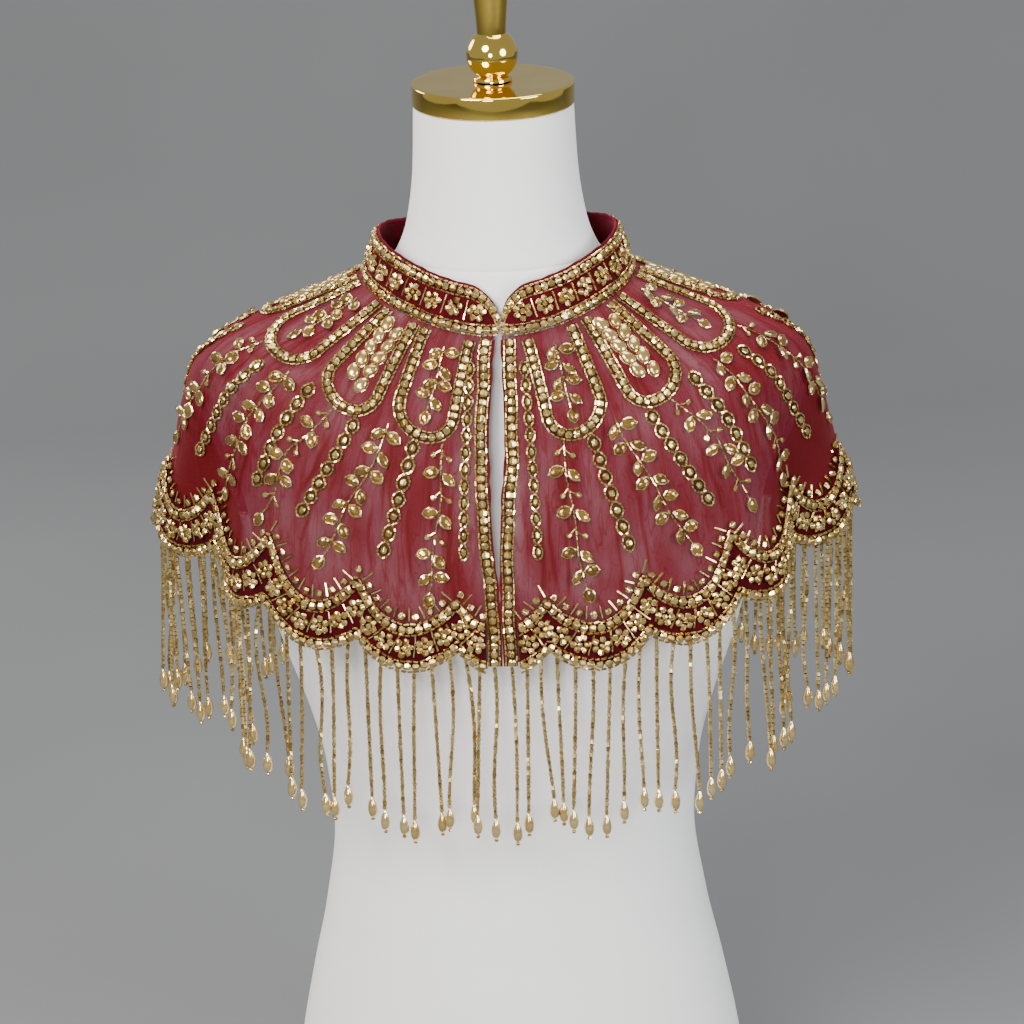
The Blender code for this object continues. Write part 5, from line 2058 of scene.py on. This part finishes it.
@dataclass
class Fringe(Beadwork):
    """The strands of beads that hang from the hem."""

    strand_length: float = 0.1060
    unevenness: float = 0.0070
    sway: float = 0.0034
    bow: float = 0.0011
    strip_height: float = 0.0028
    bead_pitch: float = 0.0030
    girth: float = 0.0024
    drop = (0.0148, 0.0066, 0.0066)
    seed_bead = (0.0020, 0.0025, 0.0025)
    per_scallop: int = 7
    per_end: int = 4

    def runs(self) -> dict[str, Array]:
        """Return the turns of each panel's columns, in the part's order.

        Returns:
            The turns by the panel's name.
        """
        cusps = [FIRST_CUSP + index * SCALLOP_PITCH for index in range(CUSPS)]
        parts = [np.linspace(0.0, cusps[0], self.per_end)[:-1]]
        for left, right in zip(cusps[:-1], cusps[1:]):
            parts.append(np.linspace(left, right, self.per_scallop)[:-1])
        turns = np.concatenate([*parts, np.linspace(cusps[-1], 1.0, self.per_end)])
        seam = self.per_end - 1 + 4 * (self.per_scallop - 1)
        front = np.maximum(turns[:seam + 1], 1e-9)
        behind = turns[seam:]
        back = np.concatenate([behind, -behind[-2::-1]])
        return {"front_right": front, "front_left": -front[::-1], "back": back}

    def build(self) -> None:
        """Build each panel's strands."""
        random = np.random.default_rng(7)
        for number, (label, turns) in enumerate(self.runs().items()):
            tuck = self.cape.hem_trace(turns, EDGE_TUCK, 0.0)
            edge = self.cape.hem_trace(turns, 0.0, 0.0)
            draw = Strew(self.box, 1100 + number)
            for index in range(len(turns) - 1):
                root = 0.5 * (tuck.points[index] + tuck.points[index + 1])
                down = unit(0.5 * (edge.points[index] + edge.points[index + 1]) - root)
                out = unit(tuck.normals[index] + tuck.normals[index + 1])
                root = root + (SEAM_GAP + self.strip_height) * down + 0.0002 * out
                length = self.strand_length + self.unevenness * (random.random() - 0.5)
                sway = np.array([random.normal(0.0, self.sway), random.normal(0.0, 0.4 * self.sway), 0.0])
                self.hang(draw, root, length, sway, out)
            self.keep(draw, f"fringe_{label}_strands", "fringe_" + label)

    def hang(self, draw: Strew, root: Array, length: float, sway: Array, out: Array) -> None:
        """Hang one strand with its drop and seed bead.

        Args:
            draw: The panel's beads.
            root: The strand's upper end.
            length: Its length without the drop.
            sway: How far its lower end hangs aside.
            out: The cloth's outward direction.
        """
        down = np.array([0.0, 0.0, -1.0])
        share = np.linspace(0.0, 1.0, 24)[:, None]
        waves = np.sin(math.pi * share * (1.0 + draw.jitter.random()))
        bow = self.bow * waves * draw.jitter.normal(size=3) * (1, 1, 0)
        points = root + share * length * down + sway * share ** 1.3 + bow
        line = Trace(points, np.broadcast_to(unit(np.array([out[0], out[1], 0.0])), points.shape))
        spots, tangents, normals, step = line.even(self.bead_pitch)
        girth = self.girth * (0.86 + 0.28 * draw.jitter.random(len(spots)))
        reach = step * (0.74 + 0.20 * draw.jitter.random(len(spots)))
        size = np.stack([reach, girth, girth], axis=1)
        draw.put(self.box.tube, spots, tangents, normals, size, Finish.STRAND, LOOSE)
        # The dark thread shares the tape's finish, partly painted shade between the beads
        draw.strip(line, 0.0005, -0.0005, 0.0005, Finish.TAPE_AND_SHADE)
        tip = points[-1]
        lean = down + 0.02 * draw.jitter.normal(size=3)
        draw.put(self.box.drop, tip + 0.5 * self.drop[0] * down, lean, out, self.drop, Finish.PEARL)
        draw.put(self.box.faceted, tip + (self.drop[0] + 0.0011) * down, down, out, self.seed_bead, loose=0.2)


@dataclass
class Studio:
    """The floor, the lights and the camera."""

    pixels: float = 1024.0
    focal_pixels: float = 3200.0
    pitch: float = math.radians(20.3)
    roll: float = math.radians(1.7)
    aim: tuple[float, float, float] = (0.0, -0.05, 0.50)
    distance: float = 2.08
    centre_x: float = 505.5
    sensor: float = 36.0
    air: Tint = (0.80, 0.82, 0.85, 1.0)
    air_strength: float = 0.46
    lit_height: float = 0.55
    bend: float = 0.9
    curl: float = math.radians(60.0)
    lamps = (
        # name, place, size, power, colour
        ("key", (-1.3, -1.9, 2.3), 1.3, 122.0, (1.0, 0.97, 0.93)),
        ("fill", (1.9, -1.5, 1.3), 1.2, 54.0, (0.93, 0.96, 1.0)),
        ("top", (0.2, 0.5, 2.6), 1.6, 46.0, (1.0, 1.0, 1.0)),
        ("rim", (-1.6, 1.2, 1.3), 0.9, 16.0, (1.0, 1.0, 1.0)),
        ("front", (-0.3, -2.3, 1.0), 0.6, 26.0, (1.0, 1.0, 1.0)),
    )

    def build(self, finish: Material) -> None:
        """Set the stage.

        Args:
            finish: The floor's material.
        """
        self.build_floor(finish)
        self.build_lights()
        self.build_camera()

    def build_floor(self, finish: Material) -> None:
        """Lay a pale floor whose far edge curves up just far enough to fill the photograph's view.

        Args:
            finish: The floor's material.
        """
        turns = np.linspace(0.0, self.curl, 15)[1:]
        places = [(-3.0 + 0.42 * k, 0.0) for k in range(12)]
        places += [(1.62 + self.bend * math.sin(turn), self.bend * (1.0 - math.cos(turn))) for turn in turns]
        rows = [[(x, y, z - 0.0002) for x in np.linspace(-4.0, 4.0, 9)] for y, z in places]
        grid_sheet("floor", np.array(rows)[::-1], finish)

    def build_lights(self) -> None:
        """Hang the soft boxes and a pale surround."""
        for name, place, size, power, colour in self.lamps:
            data = bpy.data.lights.new(name, "AREA")
            data.shape = "DISK"
            data.size = size
            data.energy = power
            data.color = colour
            lamp = bpy.data.objects.new(name, data)
            bpy.context.scene.collection.objects.link(lamp)
            lamp.location = place
            to_part = Vector((0.0, 0.0, self.lit_height)) - Vector(place)
            lamp.rotation_euler = to_part.to_track_quat("-Z", "Y").to_euler()
        world = bpy.data.worlds.new("studio_air")
        world.use_nodes = True
        surround = world.node_tree.nodes["Background"].inputs
        surround["Color"].default_value = self.air
        surround["Strength"].default_value = self.air_strength
        bpy.context.scene.world = world

    def build_camera(self) -> None:
        """Set the camera at the photograph's angle."""
        data = bpy.data.cameras.new("view")
        data.sensor_width = self.sensor
        data.lens = self.sensor * self.focal_pixels / self.pixels
        data.shift_x = (0.5 * self.pixels - self.centre_x) / self.pixels
        data.clip_end = 50.0
        camera = bpy.data.objects.new("view", data)
        bpy.context.scene.collection.objects.link(camera)
        forward = Vector((0.0, math.cos(self.pitch), -math.sin(self.pitch)))
        camera.matrix_world = (
            Matrix.Translation(Vector(self.aim) - self.distance * forward)
            @ Matrix.Rotation(0.5 * math.pi - self.pitch, 4, "X")
            @ Matrix.Rotation(-self.roll, 4, "Z")
        )
        bpy.context.scene.camera = camera


@dataclass(frozen=True)
class Cut:
    """A cloth piece's flat size in metres, its flat area and how it is held."""

    width: float
    length: float
    area: float
    held: str

    def declare(self, sheet: Piece, rests_on: Sequence[str]) -> None:
        """Log the area of a sheet's cloth.

        Args:
            sheet: The cloth.
            rests_on: Not used.
        """
        LOG.info("%s: cloth area %.5f", sheet.name, 0.5 * sum(face.area for face in sheet.data.polygons))


def plain(box: object) -> list[list[float]]:
    """Return a box's two corners as plain lists of numbers."""
    return [[float(value) for value in corner] for corner in box]


def sewn_finishes() -> list[Material]:
    """Return the materials of what is sewn on, in the order of Finish.

    Returns:
        The materials.
    """
    return [finish.make() for finish in (
        MetalFinish("gold_beads", (0.32, 0.195, 0.05), (0.88, 0.67, 0.29)),
        MetalFinish("gold_claws", (0.50, 0.36, 0.12), (0.86, 0.72, 0.40), (0.14, 0.26)),
        MetalFinish("amber_stones", (0.17, 0.085, 0.012), (0.50, 0.30, 0.065), (0.08, 0.20), 0.85, 1.0, 0.04),
        MetalFinish("honey_stones", (0.46, 0.29, 0.08), (0.78, 0.56, 0.22), (0.16, 0.26), 0.9, 0.6, 0.04),
        # Dark tape: partly a base tape, partly painted shade between beads
        VelvetFinish("dark_tape_and_shade", (0.022, 0.010, 0.003), (0.075, 0.035, 0.012)),
        VelvetFinish("crimson_edge", (0.050, 0.002, 0.006), (0.120, 0.008, 0.016)),
        MetalFinish("gold_drops", (0.70, 0.47, 0.16), (0.92, 0.71, 0.34), (0.10, 0.18), 0.9, 0.6, 0.04),
        MetalFinish("strand_beads", (0.36, 0.23, 0.06), (0.88, 0.68, 0.31), (0.22, 0.38)),
    )]


def main() -> None:
    """Build the form, the garment and the studio, and log the cloth areas."""
    logging.basicConfig(level=logging.INFO, format="%(name)s %(message)s")
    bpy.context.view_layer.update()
    collar_velvet = VelvetFinish("collar_velvet", (0.034, 0.0008, 0.003), (0.085, 0.0015, 0.006)).make()
    hem_velvet = VelvetFinish("hem_velvet", (0.026, 0.0006, 0.002), (0.065, 0.001, 0.005)).make()
    DressForm().build(JerseyFinish().make(), MirrorFinish().make())
    cape = Cape()
    sewn = cape, Beadbox(), sewn_finishes()
    panels = Net(cape).build(NetFinish().make())
    bands = Border(*sewn).build(hem_velvet)
    collar = Collar(*sewn).build(collar_velvet)
    for beadwork in (FrontBands, Petals, Chains, Sprigs, Fringe):
        beadwork(*sewn).build()
    for label, panel in panels.items():
        net = Cut(0.70, 0.26, 0.114, "draped") if label == "back" else Cut(0.34, 0.26, 0.053, "draped")
        strip = Cut(0.69, 0.045, 0.0250, "hung") if label == "back" else Cut(0.33, 0.045, 0.0118, "hung")
        net.declare(panel, ["body_cover"])
        strip.declare(bands[label], [panel.name])
    Cut(0.51, 0.030, 0.0135, "hung").declare(collar, [panel.name for panel in panels.values()])
    Studio().build(StageFinish().make())


if __name__ == "__main__":
    main()
